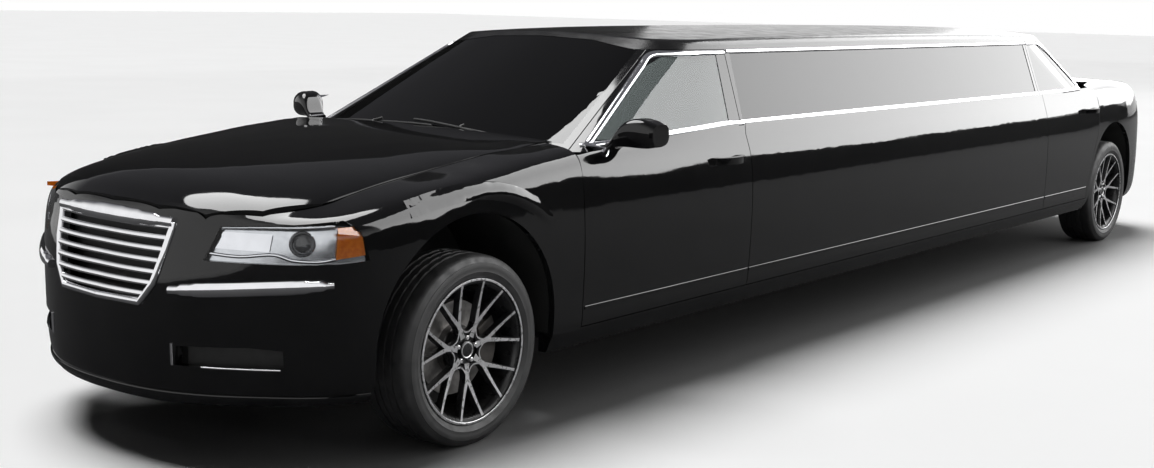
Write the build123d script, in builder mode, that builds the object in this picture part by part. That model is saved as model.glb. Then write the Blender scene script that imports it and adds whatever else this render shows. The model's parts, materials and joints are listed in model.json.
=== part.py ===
"""Stretched saloon, 140 inches longer than the car it is cut from, in millimetres.

+X is forward, +Y is the car's left, +Z is up; the origin is on the ground, under the middle of the car.
Outlines near an axle are given from that axle, so the stretch only lengthens what lies between them.
"""

from build123d import *
import math
import os

# ---------------------------------------------------------------- driving sizes
stretch = 3556.0
stock_wheelbase = 3052.0
front_overhang = 950.0
rear_overhang = 1042.0
half_width = 951.0
roof_height = 1500.0
track_front = 1611.0
track_rear = 1620.0
tyre_radius = 362.0
tyre_width = 245.0
bead_radius = 254.4
arch_radius = 440.0
rear_arch_radius = 424.0
arch_height = 425.0
skin = 28.0
door_wall = 60.0
glasshouse_wall = 30.0
glass_thickness = 5.0
glass_inset = 3.0
glass_clearance = 0.2
hinge_plate = 6.3
shut_gap = 5.0
seat_gap = 0.3
floor_height = 290.0
floor_thickness = 25.0
sill_top = 347.0
boot_floor = 455.0
belt_height = 1090.0
rail_height = 1414.0
hinge_levels = (470.0, 900.0)
lug = 8.0
strap_inner = 891.0
strap_outer = 903.0
post_outer = 883.0
loft_steps = 2

wheelbase = stock_wheelbase + stretch
front_axle = (wheelbase + rear_overhang - front_overhang) / 2
rear_axle = front_axle - wheelbase
front_door_front = front_axle - 600.0
front_door_rear = front_axle - 1810.0
rear_door_front = rear_axle + 1242.0
rear_door_rear = rear_axle + 318.0

# ---------------------------------------------------------------- body outline
# Stations run round each end: distance ahead of (or behind) the axle, half width there, and the skin's
# profile as (inset from the plan outline, height).
nose_stations = [
    (950, 0, [(36, 228), (10, 275), (0, 400), (3, 560), (20, 670), (42, 770), (60, 840), (70, 880), (84, 905)]),
    (928, 260, [(36, 229), (10, 277), (0, 400), (2, 560), (14, 680), (36, 780), (54, 845), (62, 880), (72, 902)]),
    (858, 466, [(40, 232), (14, 280), (2, 400), (0, 560), (4, 690), (22, 780), (36, 840), (42, 872), (49, 892)]),
    (748, 645, [(45, 236), (18, 285), (4, 400), (0, 560), (0, 690), (8, 790), (26, 850), (44, 876), (70, 893)]),
    (600, 816, [(45, 240), (20, 290), (6, 400), (0, 560), (0, 700), (2, 800), (20, 862), (70, 893), (150, 918)]),
    (420, 905, [(40, 245), (18, 300), (5, 400), (0, 560), (0, 700), (3, 810), (24, 888), (92, 926), (215, 949)]),
    (200, 940, [(36, 250), (14, 310), (4, 400), (0, 560), (0, 720), (5, 850), (32, 934), (104, 964), (240, 977)]),
    (0, 948, [(36, 255), (13, 330), (4, 420), (0, 600), (0, 740), (7, 880), (32, 960), (104, 988), (248, 1001)]),
    (-300, 951, [(40, 262), (13, 340), (5, 430), (0, 600), (1, 740), (9, 890), (34, 985), (100, 1024), (236, 1041)]),
    (-560, 951, [(46, 270), (12, 344), (5, 440), (0, 620), (3, 780), (14, 920), (36, 1003), (90, 1044), (215, 1061)]),
    (-620, 951, [(46, 270), (12, 344), (5, 440), (0, 620), (3, 780), (14, 920), (36, 1005), (88, 1046), (212, 1064)]),
]
side_profile = [(46, 270), (12, 344), (4, 440), (0, 600), (1, 740), (6, 850), (18, 940), (36, 1005), (63, 1090)]
front_door_stations = [
    (-560, 951, [(46, 270), (12, 344), (5, 440), (0, 620), (2, 740), (8, 850), (20, 945), (36, 1003), (56, 1028)]),
    (-760, 951, [(46, 270), (12, 344), (5, 440), (0, 615), (2, 740), (7, 850), (19, 942), (36, 1004), (58, 1036)]),
    (-1100, 951, [(46, 270), (12, 344), (4, 440), (0, 610), (1, 740), (6, 850), (18, 940), (36, 1005), (60, 1052)]),
    (-1500, 951, [(46, 270), (12, 344), (4, 440), (0, 600), (1, 740), (6, 850), (18, 940), (36, 1005), (62, 1077)]),
    (-1760, 951, side_profile),
    (-1900, 951, side_profile),
]
rear_door_stations = [
    (1300, 951, side_profile),
    (1100, 951, side_profile),
    (700, 951, [(46, 270), (12, 344), (4, 440), (0, 600), (1, 740), (6, 850), (18, 945), (36, 1012), (62, 1097)]),
    (250, 951, [(46, 270), (12, 344), (4, 440), (0, 600), (1, 740), (5, 850), (14, 950), (34, 1028), (60, 1108)]),
]
tail_stations = [
    (470, 951, [(46, 270), (12, 344), (4, 440), (0, 600), (1, 740), (5, 850), (14, 950), (38, 1040), (84, 1112)]),
    (360, 951, [(46, 270), (12, 344), (4, 440), (0, 600), (1, 740), (5, 850), (14, 952), (42, 1046), (110, 1120)]),
    (0, 950, [(44, 270), (12, 344), (4, 440), (0, 600), (1, 740), (5, 860), (16, 958), (60, 1070), (200, 1127)]),
    (-260, 946, [(42, 272), (12, 344), (4, 440), (0, 600), (1, 740), (5, 860), (18, 960), (64, 1072), (215, 1124)]),
    (-520, 922, [(40, 275), (12, 344), (4, 440), (0, 590), (1, 730), (6, 860), (22, 962), (68, 1066), (205, 1112)]),
    (-760, 858, [(42, 280), (14, 340), (3, 440), (0, 580), (4, 720), (12, 860), (30, 960), (66, 1050), (140, 1096)]),
    (-910, 745, [(46, 290), (18, 340), (3, 440), (0, 570), (10, 710), (26, 850), (42, 950), (62, 1036), (92, 1084)]),
    (-1002, 520, [(52, 296), (22, 342), (3, 440), (0, 570), (14, 690), (36, 840), (50, 950), (62, 1034), (74, 1080)]),
    (-1036, 240, [(54, 298), (23, 342), (3, 440), (0, 570), (16, 690), (38, 840), (52, 950), (62, 1034), (68, 1080)]),
    (-1042, 0, [(54, 298), (23, 342), (3, 440), (0, 570), (16, 690), (38, 840), (52, 950), (62, 1034), (66, 1080)]),
]
# The bonnet's outline in plan, from its front middle back along the wing, and its crown.
bonnet_outline = [(866, 0), (858, 245), (815, 443), (700, 598), (518, 690), (361, 698), (0, 700), (-300, 715), (-640, 738)]
# The glasshouse in plan at the waist and at the roof: the front half from the front axle, the rear half
# from the rear axle; the straight side between them is given by its half width.
waist_level = 1020.0
waist_front = [(-602, 0), (-622, 300), (-712, 697), (-755, 782), (-862, 845), (-1180, 882), (-1700, 901)]
waist_rear = [(690, 901), (430, 884), (240, 838), (120, 775), (52, 680), (10, 350), (-4, 0)]
top_level = 1430.0
top_front = [(-1394, 0), (-1410, 250), (-1482, 538), (-1540, 602), (-1660, 668), (-1830, 692), (-2100, 697)]
top_rear = [(1250, 697), (980, 690), (800, 655), (706, 598), (672, 520), (646, 250), (640, 0)]

# The roof's crown along the car: place and height on the middle line; it falls by the camber to each side.
crown_line = [
    (front_axle - 560, roof_height - 190),
    (front_axle - 1150, roof_height - 55),
    (front_axle - 1480, roof_height - 22),
    (front_axle - 1800, roof_height - 9),
    (front_axle - 2500, roof_height),
    (rear_axle + 2000, roof_height),
    (rear_axle + 1200, roof_height - 7),
    (rear_axle + 720, roof_height - 24),
    (rear_axle + 350, roof_height - 75),
    (rear_axle - 40, roof_height - 190),
]
crown_camber = 70.0
roof_edge = 55.0


def inner_wall(profile, wall):
    """The inside of a wall: each point moved in by the wall, square to the profile there."""
    inside = []
    last = len(profile) - 1
    for i, (inset, height) in enumerate(profile):
        before = profile[max(i - 1, 0)]
        after = profile[min(i + 1, last)]
        run = after[0] - before[0]
        rise = after[1] - before[1]
        length = math.hypot(run, rise)
        inside.append((inset + wall * rise / length, height - wall * run / length))
    return inside


def between(rows, place):
    """A row of numbers at a fractional place along the rows, on a smooth curve through them all."""
    last = len(rows) - 1
    k = min(int(place), last - 1)
    t = place - k
    before, start, end, after = (rows[min(max(k + step, 0), last)] for step in (-1, 0, 1, 2))
    return [
        b + t * ((c - a) / 2 + t * ((2 * a - 5 * b + 4 * c - d) / 2 + t * (3 * b - a - 3 * c + d) / 2))
        for a, b, c, d in zip(before, start, end, after)
    ]


def even_spline(points):
    """A spline whose points are evenly spaced in its parameter, so that lofted sections match."""
    steps = [i / (len(points) - 1) for i in range(len(points))]
    return Edge.make_spline([Vector(*point) for point in points], parameters=steps)


def wall_loft(stations, axle, wall):
    """A wall lofted through stations that stand square to the plan outline.

    Where it reaches the car's middle line it runs on to the mirrored station, so that it crosses square.
    """
    if stations[0][1] == 0:
        stations = [(stations[1][0], -stations[1][1], stations[1][2])] + stations
    if stations[-1][1] == 0:
        stations = stations + [(stations[-2][0], -stations[-2][1], stations[-2][2])]
    outline = Edge.make_spline([Vector(axle + ahead, half) for ahead, half, profile in stations])
    params = [outline.param_at_point(Vector(axle + ahead, half)) for ahead, half, profile in stations]
    insets = [[d for d, z in profile] for ahead, half, profile in stations]
    heights = [[z for d, z in profile] for ahead, half, profile in stations]
    with BuildPart() as body:
        for step in range((len(stations) - 1) * loft_steps + 1):
            place = step / loft_steps
            share = between([[param] for param in params], place)[0]
            spot = outline.position_at(share)
            along = outline.tangent_at(share)
            profile = list(zip(between(insets, place), between(heights, place)))
            stand = Plane(spot, x_dir=(along.Y, -along.X, 0), z_dir=(-along.X, -along.Y, 0))
            with BuildSketch(stand):
                with BuildLine():
                    outer = even_spline([(-d, z) for d, z in profile])
                    inner = even_spline([(-d, z) for d, z in inner_wall(profile, wall)])
                    add([outer, inner])
                    Line(outer @ 0, inner @ 0)
                    Line(outer @ 1, inner @ 1)
                make_face()
        loft()
    return body.part


def side_prism(points, half_depth=2000.0):
    """A prism across the car from an outline in the side view, (x, z)."""
    with BuildPart() as body:
        with BuildSketch(Plane.XZ):
            with BuildLine():
                Polyline(*points, close=True)
            make_face()
        extrude(amount=half_depth, both=True)
    return body.part


def front_prism(points, start, end):
    """A prism along the car from an outline in the front view, (y, z)."""
    with BuildPart() as body:
        with BuildSketch(Plane.YZ.offset(start)):
            with BuildLine():
                Polyline(*points, close=True)
            make_face()
        extrude(amount=end - start)
    return body.part


def plan_prism(points, bottom, top):
    """A prism upwards from an outline in plan, (x, y)."""
    with BuildPart() as body:
        with BuildSketch(Plane.XY.offset(bottom)):
            with BuildLine():
                Polyline(*points, close=True)
            make_face()
        extrude(amount=top - bottom)
    return body.part


def block(x0, x1, y0, y1, z0, z1):
    """A box between two corners."""
    with BuildPart() as body:
        with BuildSketch(Plane.XY.offset(z0)):
            with Locations(((x0 + x1) / 2, (y0 + y1) / 2)):
                Rectangle(x1 - x0, y1 - y0)
        extrude(amount=z1 - z0)
    return body.part


def swung_prism(points, tilt):
    """A side-view outline on the skin at full width, swept inboard and forward by the tilt.

    A door's closing edge is cut this way, so that its inner corner clears the post as it swings.
    """
    with BuildPart() as body:
        lean = math.radians(tilt)
        inward = Vector(math.sin(lean), -math.cos(lean), 0)
        start = Plane(Vector(0, half_width, 0) - 200 * inward, x_dir=(1, 0, 0), z_dir=(0, -1, 0))
        with BuildSketch(start):
            with BuildLine():
                Polyline(*points, close=True)
            make_face()
        extrude(amount=900, dir=inward)
    return body.part


def inset_outline(points, inset):
    """An open plan outline moved inwards; its ends keep to the car's middle line or to the straight side."""
    moved = []
    last = len(points) - 1
    for i, (x, y) in enumerate(points):
        before = points[max(i - 1, 0)]
        after = points[min(i + 1, last)]
        along = (after[0] - before[0], after[1] - before[1])
        if i in (0, last):
            along = (0, along[1]) if y == 0 else (along[0], 0)
        length = math.hypot(*along)
        moved.append((x + inset * -abs(along[1]) / length * (1 if (along[1] > 0) else -1), y))
        shift = inset * abs(along[0]) / length
        moved[-1] = (moved[-1][0], y - shift)
    return moved


def outline_at(level, waist, top, axle, inset):
    """The glasshouse's half outline at a level, on the straight lines between the waist and the roof."""
    share = (level - waist_level) / (top_level - waist_level)
    points = [(axle + a + share * (c - a), b + share * (d - b)) for (a, b), (c, d) in zip(waist, top)]
    return inset_outline(points, inset)


def leaning_walls(inset):
    """The glasshouse's leaning sides as a solid with a flat top, shrunk by the inset."""
    with BuildPart() as body:
        for level in (waist_level, top_level + 100):
            nose = outline_at(level, waist_front, top_front, front_axle, inset)
            tail = outline_at(level, waist_rear, top_rear, rear_axle, inset)
            with BuildSketch(Plane.XY.offset(level)):
                with BuildLine():
                    start = Spline(*nose, tangents=[(0, 1), (-1, 0)])
                    end = Spline(*tail, tangents=[(-1, 0), (0, -1)])
                    Line(start @ 1, end @ 0)
                    mirror(about=Plane.XZ)
                make_face()
        loft(ruled=True)
    return body.part


def glasshouse(inset, crown_drop, edge):
    """The glasshouse as a solid: leaning sides cut by the roof's crown, with the roof's edge rounded."""
    with BuildPart() as crown:
        for ahead, height in crown_line:
            with BuildSketch(Plane.YZ.offset(ahead)):
                with BuildLine():
                    arc = ThreePointArc(
                        (-half_width, height - crown_drop - crown_camber),
                        (0, height - crown_drop),
                        (half_width, height - crown_drop - crown_camber),
                    )
                    Polyline(arc @ 1, (half_width, 900), (-half_width, 900), arc @ 0)
                make_face()
        loft()
    with BuildPart() as volume:
        add(leaning_walls(inset))
        add(crown.part, mode=Mode.INTERSECT)
        top_edges = volume.faces().sort_by(Axis.Z)[-1].outer_wire().edges()
        fillet(top_edges, edge)
    return volume.part


def shut(x, z, tilt):
    """Where a swung cut meets full width so that it passes (x, z) on the skin of the door."""
    share = min(max((z - belt_height) / (top_level - belt_height), 0), 1)
    inboard = 0 if z < belt_height - 60 else half_width - (868 - share * 171)
    return (x - inboard * math.tan(math.radians(tilt)), z)


def both_sides(part):
    """A left-hand piece and its right-hand twin."""
    with BuildPart() as pair:
        add(part)
        mirror(part, about=Plane.XZ)
    return pair.part


def common(*parts):
    """What all the parts share."""
    with BuildPart() as body:
        add(parts[0])
        for part in parts[1:]:
            add(part, mode=Mode.INTERSECT)
    return body.part


def less(part, *cutters):
    """A part with the cutters taken away."""
    with BuildPart() as body:
        add(part)
        for cutter in cutters:
            add(cutter, mode=Mode.SUBTRACT)
    return body.part


def round_bar_x(y, z, radius, start, length):
    """A round bar along the car."""
    with BuildPart() as body:
        with BuildSketch(Plane.YZ.offset(start)):
            with Locations((y, z)):
                Circle(radius)
        extrude(amount=length)
    return body.part


def joined(*parts):
    """Parts fused where they meet."""
    with BuildPart() as body:
        for part in parts:
            add(part)
    return body.part


def write(part, name):
    """One piece in its own file."""
    part.label = name
    export_step(part, os.path.join("parts", name + ".step"))


os.makedirs("parts", exist_ok=True)

# ---------------------------------------------------------------- outer walls
left_half = block(-6000, 6000, 0, 2000, -100, 2000)
nose_wall = common(wall_loft(nose_stations, front_axle, skin), left_half)
front_door_wall = wall_loft(front_door_stations, front_axle, door_wall)
rear_door_wall = wall_loft(rear_door_stations, rear_axle, door_wall)
tail_wall = common(wall_loft(tail_stations, rear_axle, skin), left_half)
glasshouse_shell = less(glasshouse(0, 0, roof_edge), glasshouse(glasshouse_wall, skin, roof_edge - skin))
glazing_shell = less(leaning_walls(glass_inset), leaning_walls(glass_inset + glass_thickness))

half_gap = shut_gap / 2
sill_cut = block(rear_axle + 372, front_axle - 372, 0, 2000, -100, sill_top)


def arch_cut(axle, radius, offset_x, depth):
    """The round wheel opening, carried straight down to the ground."""
    with BuildPart() as body:
        with BuildSketch(Plane.XZ.offset(-depth)):
            with Locations((axle + offset_x, arch_height)):
                Circle(radius)
            with Locations((axle + offset_x, 0)):
                Rectangle(2 * radius, 2 * arch_height)
        extrude(amount=-2000)
    return body.part


front_arch = arch_cut(front_axle, arch_radius, 15, 560)
rear_arch = arch_cut(rear_axle, rear_arch_radius, 0, 560)

# ---------------------------------------------------------------- front end
lamp_outline = [
    (front_axle + 480, 745),
    (front_axle + 620, 734),
    (front_axle + 780, 736),
    (front_axle + 846, 738),
    (front_axle + 800, 852),
    (front_axle + 640, 868),
    (front_axle + 540, 880),
    (front_axle + 505, 850),
]
lamp_inner = 440.0
lamp_zone = common(side_prism(lamp_outline), block(front_axle + 400, front_axle + 1100, lamp_inner, 1000, 700, 900))
grille_outline = [(0, 560), (236, 568), (292, 640), (322, 740), (340, 852), (250, 866), (0, 872)]
grille_zone = joined(
    front_prism(grille_outline, front_axle + 500, front_axle + 1200),
    front_prism([(-y, z) for y, z in grille_outline], front_axle + 500, front_axle + 1200),
)
wing_zone = plan_prism(
    [
        (front_axle - 600 + half_gap, 0),
        (front_axle - 600 + half_gap, 1500),
        (front_axle + 470, 1500),
        (front_axle + 470, 1000),
        (front_axle + 840, lamp_inner),
        (front_axle + 700, lamp_inner),
    ],
    -100,
    1500,
)
bumper_top = 738.0
above_bumper = block(-6000, 6000, -2000, 2000, bumper_top, 2000)
behind_arch = block(front_axle - 700, front_axle, 0, 2000, -100, 2000)
bonnet_cut = plan_prism(
    [(front_axle + x, y) for x, y in bonnet_outline] + [(front_axle - 640, -10), (front_axle + 866, -10)], 600, 1500
)
bonnet_gap = plan_prism(
    [(front_axle + x + (shut_gap if y < 650 else 0), y + shut_gap) for x, y in bonnet_outline]
    + [(front_axle - 640, -10), (front_axle + 866 + shut_gap, -10)],
    600,
    1500,
)
wing_left = less(
    common(nose_wall, wing_zone, joined(above_bumper, behind_arch)), front_arch, lamp_zone, sill_cut, bonnet_gap
)
write(both_sides(wing_left), "front_wings")

bumper_left = less(
    common(nose_wall, block(front_axle, 6000, 0, 2000, -100, 2000)),
    common(wing_zone, above_bumper),
    front_arch,
    lamp_zone,
    grille_zone,
    bonnet_gap,
)
bumper_slot = common(
    front_prism([(365, 372), (600, 372), (700, 384), (700, 440), (600, 448), (375, 440)], front_axle + 500, 5000),
    nose_wall,
)
write(both_sides(less(bumper_left, bumper_slot)), "front_bumper")

lamp_left = common(nose_wall, lamp_zone)
write(both_sides(lamp_left), "headlamps")

# ---------------------------------------------------------------- bonnet
bonnet_stations = [
    (-640, 742, 1066, 1082),
    (-300, 722, 1040, 1080),
    (0, 706, 1000, 1068),
    (200, 706, 976, 1056),
    (400, 704, 942, 1041),
    (560, 680, 914, 1024),
    (700, 620, 890, 1000),
    (800, 480, 884, 962),
    (868, 340, 876, 912),
    (890, 300, 872, 896),
]


def crowned_skin(stations, axle, wall):
    """A lid's crowned skin, lofted through sections given as (place, half width, edge height, crest)."""
    widths = [station[1:] for station in stations]
    places = [[station[0]] for station in stations]
    with BuildPart() as body:
        for step in range((len(stations) - 1) * loft_steps + 1):
            half, edge, crest = between(widths, step / loft_steps)
            rise = crest - edge
            crown = [(half, edge), (0.8 * half, edge + 0.5 * rise), (0.45 * half, edge + 0.87 * rise), (0, crest)]
            whole = crown + [(-y, z) for y, z in crown[-2::-1]]
            with BuildSketch(Plane.YZ.offset(axle + between(places, step / loft_steps)[0])):
                with BuildLine():
                    top = even_spline(whole)
                    under = even_spline([(y, z - wall) for y, z in whole])
                    add([top, under])
                    Line(top @ 0, under @ 0)
                    Line(top @ 1, under @ 1)
                make_face()
        loft()
    return body.part


bonnet_thickness = 22.0
bonnet_shell = crowned_skin(bonnet_stations, front_axle, bonnet_thickness)
bonnet_skin = common(bonnet_shell, both_sides(bonnet_cut))
hood_arm = block(front_axle - 638, front_axle - 560, 600, 600 + hinge_plate - seat_gap, 1026, 1062)
write(joined(bonnet_skin, both_sides(hood_arm)), "hood")

# ---------------------------------------------------------------- grille
grille_rim = 24.0
grille_bars = 7
grille_bar_height = 16.0


def shrunk(points, amount):
    """The grille's outline and its mirror image as a prism, shrunk all round."""
    with BuildPart() as body:
        with BuildSketch(Plane.YZ.offset(front_axle + 500)):
            with BuildLine():
                Polyline(*points, *[(-y, z) for y, z in points[-2:0:-1]], close=True)
            make_face()
            offset(amount=-amount, kind=Kind.INTERSECTION, mode=Mode.REPLACE)
        extrude(amount=700)
    return body.part


grille_face = common(nose_wall, shrunk(grille_outline, glass_clearance))
grille_opening = shrunk(grille_outline, grille_rim)
first_bar = 606.0
bar_pitch = (838.0 - first_bar) / (grille_bars - 1)
bars = [
    block(
        front_axle + 700, front_axle + 1000, -400, 400, first_bar + i * bar_pitch - grille_bar_height / 2,
        first_bar + i * bar_pitch + grille_bar_height / 2,
    )
    for i in range(grille_bars)
]
grille_part = joined(less(grille_face, grille_opening), common(grille_face, joined(*bars)))
write(both_sides(grille_part), "grille")

# ---------------------------------------------------------------- doors and side walls
door_tilt = 14.0
rear_door_tilt = 20.0
door_bottom = sill_top + shut_gap
panel_far = 6000.0


def placed(axle, points):
    """Side-view points given from an axle."""
    return [(axle + x, z) for x, z in points]


def closing_zone(edge, gap, tilt, forward):
    """Everything ahead of a door's closing edge, which leans by the tilt."""
    line = [shut(x + gap, z, tilt) for x, z in edge]
    return swung_prism(line + [(forward, line[-1][1]), (forward, line[0][1])], tilt)


def pane(outline):
    """A pane of glass on the left that fills an opening in the glasshouse, with its clearance."""
    with BuildPart() as opening:
        with BuildSketch(Plane.XZ):
            with BuildLine():
                Polyline(*outline, close=True)
            make_face()
            offset(amount=-glass_clearance, kind=Kind.INTERSECTION, mode=Mode.REPLACE)
        extrude(amount=-1200)
    return common(glazing_shell, opening.part)


def window_cut(outline):
    """The opening for a pane on the left."""
    with BuildPart() as opening:
        with BuildSketch(Plane.XZ):
            with BuildLine():
                Polyline(*outline, close=True)
            make_face()
        extrude(amount=-1200)
    return opening.part


def write_sides(part, name):
    """A left-hand piece and its right-hand twin, each in its own file."""
    write(part, name + "_left")
    write(mirror(part, about=Plane.XZ, mode=Mode.PRIVATE), name + "_right")


def hinge_straps(axis_x):
    """The straps that reach from a left door past its hinge line, each resting over a ledge on the post."""
    return [
        block(axis_x - 60, axis_x + 25, strap_inner, strap_outer, level + lug + seat_gap, level + 2 * lug)
        for level in hinge_levels
    ]


left_greenhouse = common(glasshouse_shell, left_half)
front_door_side = placed(front_axle, [
    (-600 - half_gap, rail_height - half_gap), (-2200, rail_height - half_gap), (-2200, door_bottom),
    (-600 - half_gap, door_bottom),
])
front_glass_line = placed(front_axle, [
    (-830, 1061), (-1060, 1182), (-1345, 1330), (-1500, 1384), (-1640, 1392), (-1838, 1392), (-1740, 1098),
    (-1500, 1086), (-1100, 1066),
])
front_door_edge = placed(front_axle, [(-1810, 200), (-1810, 1040), (-1830, 1095), (-1925, rail_height + 30)])
pillar_foot = (745.0, waist_level)
pillar_head = (575.0, top_level)


def beyond_pillar(gap):
    """Everything outboard of the slanting line between the front pillar and the door's frame."""
    reach = 1000.0
    return front_prism(
        [(pillar_foot[0] + gap, pillar_foot[1]), (reach, pillar_foot[1]), (reach, top_level),
         (pillar_head[0] + gap, pillar_head[1])],
        front_axle - 2300,
        front_axle,
    )


front_door_shell = joined(
    common(front_door_wall, side_prism(front_door_side)),
    common(left_greenhouse, side_prism(front_door_side), beyond_pillar(half_gap)),
)
front_door_left = less(
    common(front_door_shell, closing_zone(front_door_edge, half_gap, door_tilt, panel_far)),
    window_cut(front_glass_line),
)
front_door_left = joined(front_door_left, *hinge_straps(front_axle - 600))
write_sides(front_door_left, "front_door")
write_sides(pane(front_glass_line), "front_door_glass")

rear_door_side = placed(rear_axle, [
    (1242 - half_gap, door_bottom), (1242 - half_gap, 1095), (1141, rail_height - half_gap),
    (-500, rail_height - half_gap), (-500, door_bottom),
])
rear_glass_line = placed(rear_axle, [
    (1216, 1104), (1122, 1392), (930, 1386), (800, 1340), (690, 1270), (480, 1118), (700, 1108),
])
rear_door_edge = placed(rear_axle, [
    (470, 200), (470, 430), (432, 560), (380, 690), (318, 800), (300, 940), (318, 1060), (404, 1106), (640, 1280),
    (790, 1372), (900, rail_height + 12),
])
rear_door_shell = joined(
    common(rear_door_wall, side_prism(rear_door_side)),
    common(left_greenhouse, side_prism(rear_door_side), block(-6000, 6000, 0, 2000, 1060, 2000)),
)
rear_door_left = less(
    common(rear_door_shell, closing_zone(rear_door_edge, half_gap, rear_door_tilt, panel_far)),
    window_cut(rear_glass_line),
)
rear_door_left = joined(rear_door_left, *hinge_straps(rear_axle + 1242))
write_sides(rear_door_left, "rear_door")
write_sides(pane(rear_glass_line), "rear_door_glass")

# The stretched sides between the doors.
centre_window = [
    (front_axle - 1856, 1102), (front_axle - 1950, 1394), (rear_axle + 1182, 1394), (rear_axle + 1280, 1102),
]
with BuildPart() as centre_wall:
    with BuildSketch(Plane.YZ.offset(rear_axle + 1200)):
        with BuildLine():
            wall_out = even_spline([(half_width - d, z) for d, z in side_profile])
            wall_in = even_spline([(half_width - d, z) for d, z in inner_wall(side_profile, door_wall)])
            add([wall_out, wall_in])
            Line(wall_out @ 0, wall_in @ 0)
            Line(wall_out @ 1, wall_in @ 1)
        make_face()
    extrude(amount=front_axle - 1700 - rear_axle - 1200)
centre_side = side_prism([
    (rear_axle + 1242 + half_gap, door_bottom), (rear_axle + 1242 + half_gap, 1095),
    (rear_axle + 1141 + shut_gap, rail_height - glass_clearance), (front_axle, rail_height - glass_clearance),
    (front_axle, door_bottom),
])
behind_front_door = less(
    block(-6000, front_axle, 0, 2000, -100, 2000), closing_zone(front_door_edge, -half_gap, door_tilt, panel_far)
)
centre_shell = common(
    joined(centre_wall.part, common(left_greenhouse, block(rear_axle + 900, front_axle - 1600, 0, 1000, 1060, 2000))),
    centre_side,
    behind_front_door,
)
pockets = [
    block(rear_axle + 1240, rear_axle + 1290, 880, 920, level + lug, level + 2 * lug + 8) for level in hinge_levels
]
centre_left = less(centre_shell, window_cut(centre_window), *pockets)
write(both_sides(centre_left), "centre_sides")
write(both_sides(pane(centre_window)), "centre_windows")

# ---------------------------------------------------------------- screens, roof and rear quarters
screen_line = [(696, 1048), (644, 1186), (552, 1412), (300, 1448), (0, 1458)]
backlight_line = [(676, 1118), (640, 1230), (566, 1396), (300, 1428), (0, 1436)]


def screen_opening(outline, start, end, grow=0.0):
    """The opening for a screen, mirrored from its left half, as a prism along the car."""
    with BuildPart() as body:
        with BuildSketch(Plane.YZ.offset(start)):
            with BuildLine():
                Polyline(*outline, *[(-y, z) for y, z in outline[-2::-1]], close=True)
            make_face()
            if grow:
                offset(amount=grow, kind=Kind.INTERSECTION, mode=Mode.REPLACE)
        extrude(amount=end - start)
    return body.part


screen_span = (front_axle - 1700, front_axle - 500)
backlight_span = (rear_axle - 200, rear_axle + 900)
write(common(glazing_shell, screen_opening(screen_line, *screen_span, -glass_clearance)), "windscreen")
write(common(glazing_shell, screen_opening(backlight_line, *backlight_span, -glass_clearance)), "backlight")

roof = less(
    common(glasshouse_shell, block(-6000, 6000, -2000, 2000, rail_height, 2000)),
    screen_opening(screen_line, *screen_span),
    screen_opening(backlight_line, *backlight_span),
)
write(roof, "roof")

screen_frame = less(
    common(glasshouse_shell, block(front_axle - 1700, front_axle, -2000, 2000, waist_level, rail_height)),
    screen_opening(screen_line, *screen_span),
    both_sides(beyond_pillar(-half_gap)),
)
write(screen_frame, "windscreen_frame")

boot_stations = [
    (170, 760, 1128, 1130),
    (0, 756, 1127, 1134),
    (-260, 738, 1124, 1134),
    (-520, 724, 1112, 1127),
    (-700, 734, 1098, 1115),
    (-840, 690, 1087, 1104),
    (-930, 505, 1081, 1094),
    (-990, 300, 1076, 1084),
]
boot_thickness = 22.0
boot_front = 125.0
boot_side = 706.0
boot_shell = crowned_skin(boot_stations, rear_axle, boot_thickness)
lid_half = 610.0
lid_bottom = 775.0
plate_hole = 3.2
lamp_bottom = 790.0
lamp_top = 975.0
lid_plan = [(boot_front, 0), (boot_front, boot_side), (-700, boot_side), (-795, 686), (-960, 560), (-1100, 540), (-1100, 0)]
lid_face = [(0, lid_bottom), (560, lid_bottom), (lid_half, 985), (lid_half, 1200), (0, 1200)]


def lid_zone(gap):
    """What belongs to the boot lid on the left: its top in plan and its face at the back."""
    top = plan_prism([(rear_axle + x + gap * (x > 0), y + gap * (y > 0)) for x, y in lid_plan], 1040, 1300)
    face = front_prism([(y + gap * (y > 0), z - gap * (z < 800)) for y, z in lid_face], rear_axle - 1200, rear_axle - 700)
    return joined(top, face)


lid_left = common(joined(common(boot_shell, left_half), tail_wall), lid_zone(0))
lid_arm = block(rear_axle + 40, rear_axle + 120, 640, 640 + hinge_plate - seat_gap, 1080, 1118)
write(both_sides(joined(lid_left, lid_arm)), "boot_lid")

bumper_line = 760.0
rear_lamp_zone = common(
    front_prism(
        [(lid_half + shut_gap, lamp_bottom), (1000, lamp_bottom), (1000, lamp_top), (lid_half + shut_gap, lamp_top)],
        rear_axle - 1200,
        rear_axle - 640,
    ),
    left_half,
)
rear_lamp = common(tail_wall, rear_lamp_zone)
write(both_sides(rear_lamp), "tail_lamps")
below_line = block(-6000, rear_axle, -2000, 2000, -100, bumper_line)
rear_bumper = less(common(tail_wall, below_line), rear_arch, round_bar_x(89.0, 640.0, plate_hole, rear_axle - 1200, 300))
write(both_sides(rear_bumper), "rear_bumper")

behind_rear_door = less(
    block(-6000, rear_axle + 960, 0, 2000, -100, rail_height), closing_zone(rear_door_edge, -half_gap, rear_door_tilt, panel_far)
)
quarter_left = less(
    common(
        joined(
            tail_wall,
            common(left_greenhouse, block(-6000, rear_axle + 960, 0, 2000, 1060, rail_height)),
            less(common(boot_shell, left_half), lid_zone(shut_gap)),
        ),
        behind_rear_door,
    ),
    below_line,
    rear_arch,
    sill_cut,
    rear_lamp_zone,
    lid_zone(shut_gap),
    common(screen_opening([(690, 1000)] + backlight_line, *backlight_span), block(-6000, 6000, -690, 690, 1000, 1500)),
)
write(both_sides(quarter_left), "rear_quarters")

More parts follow.
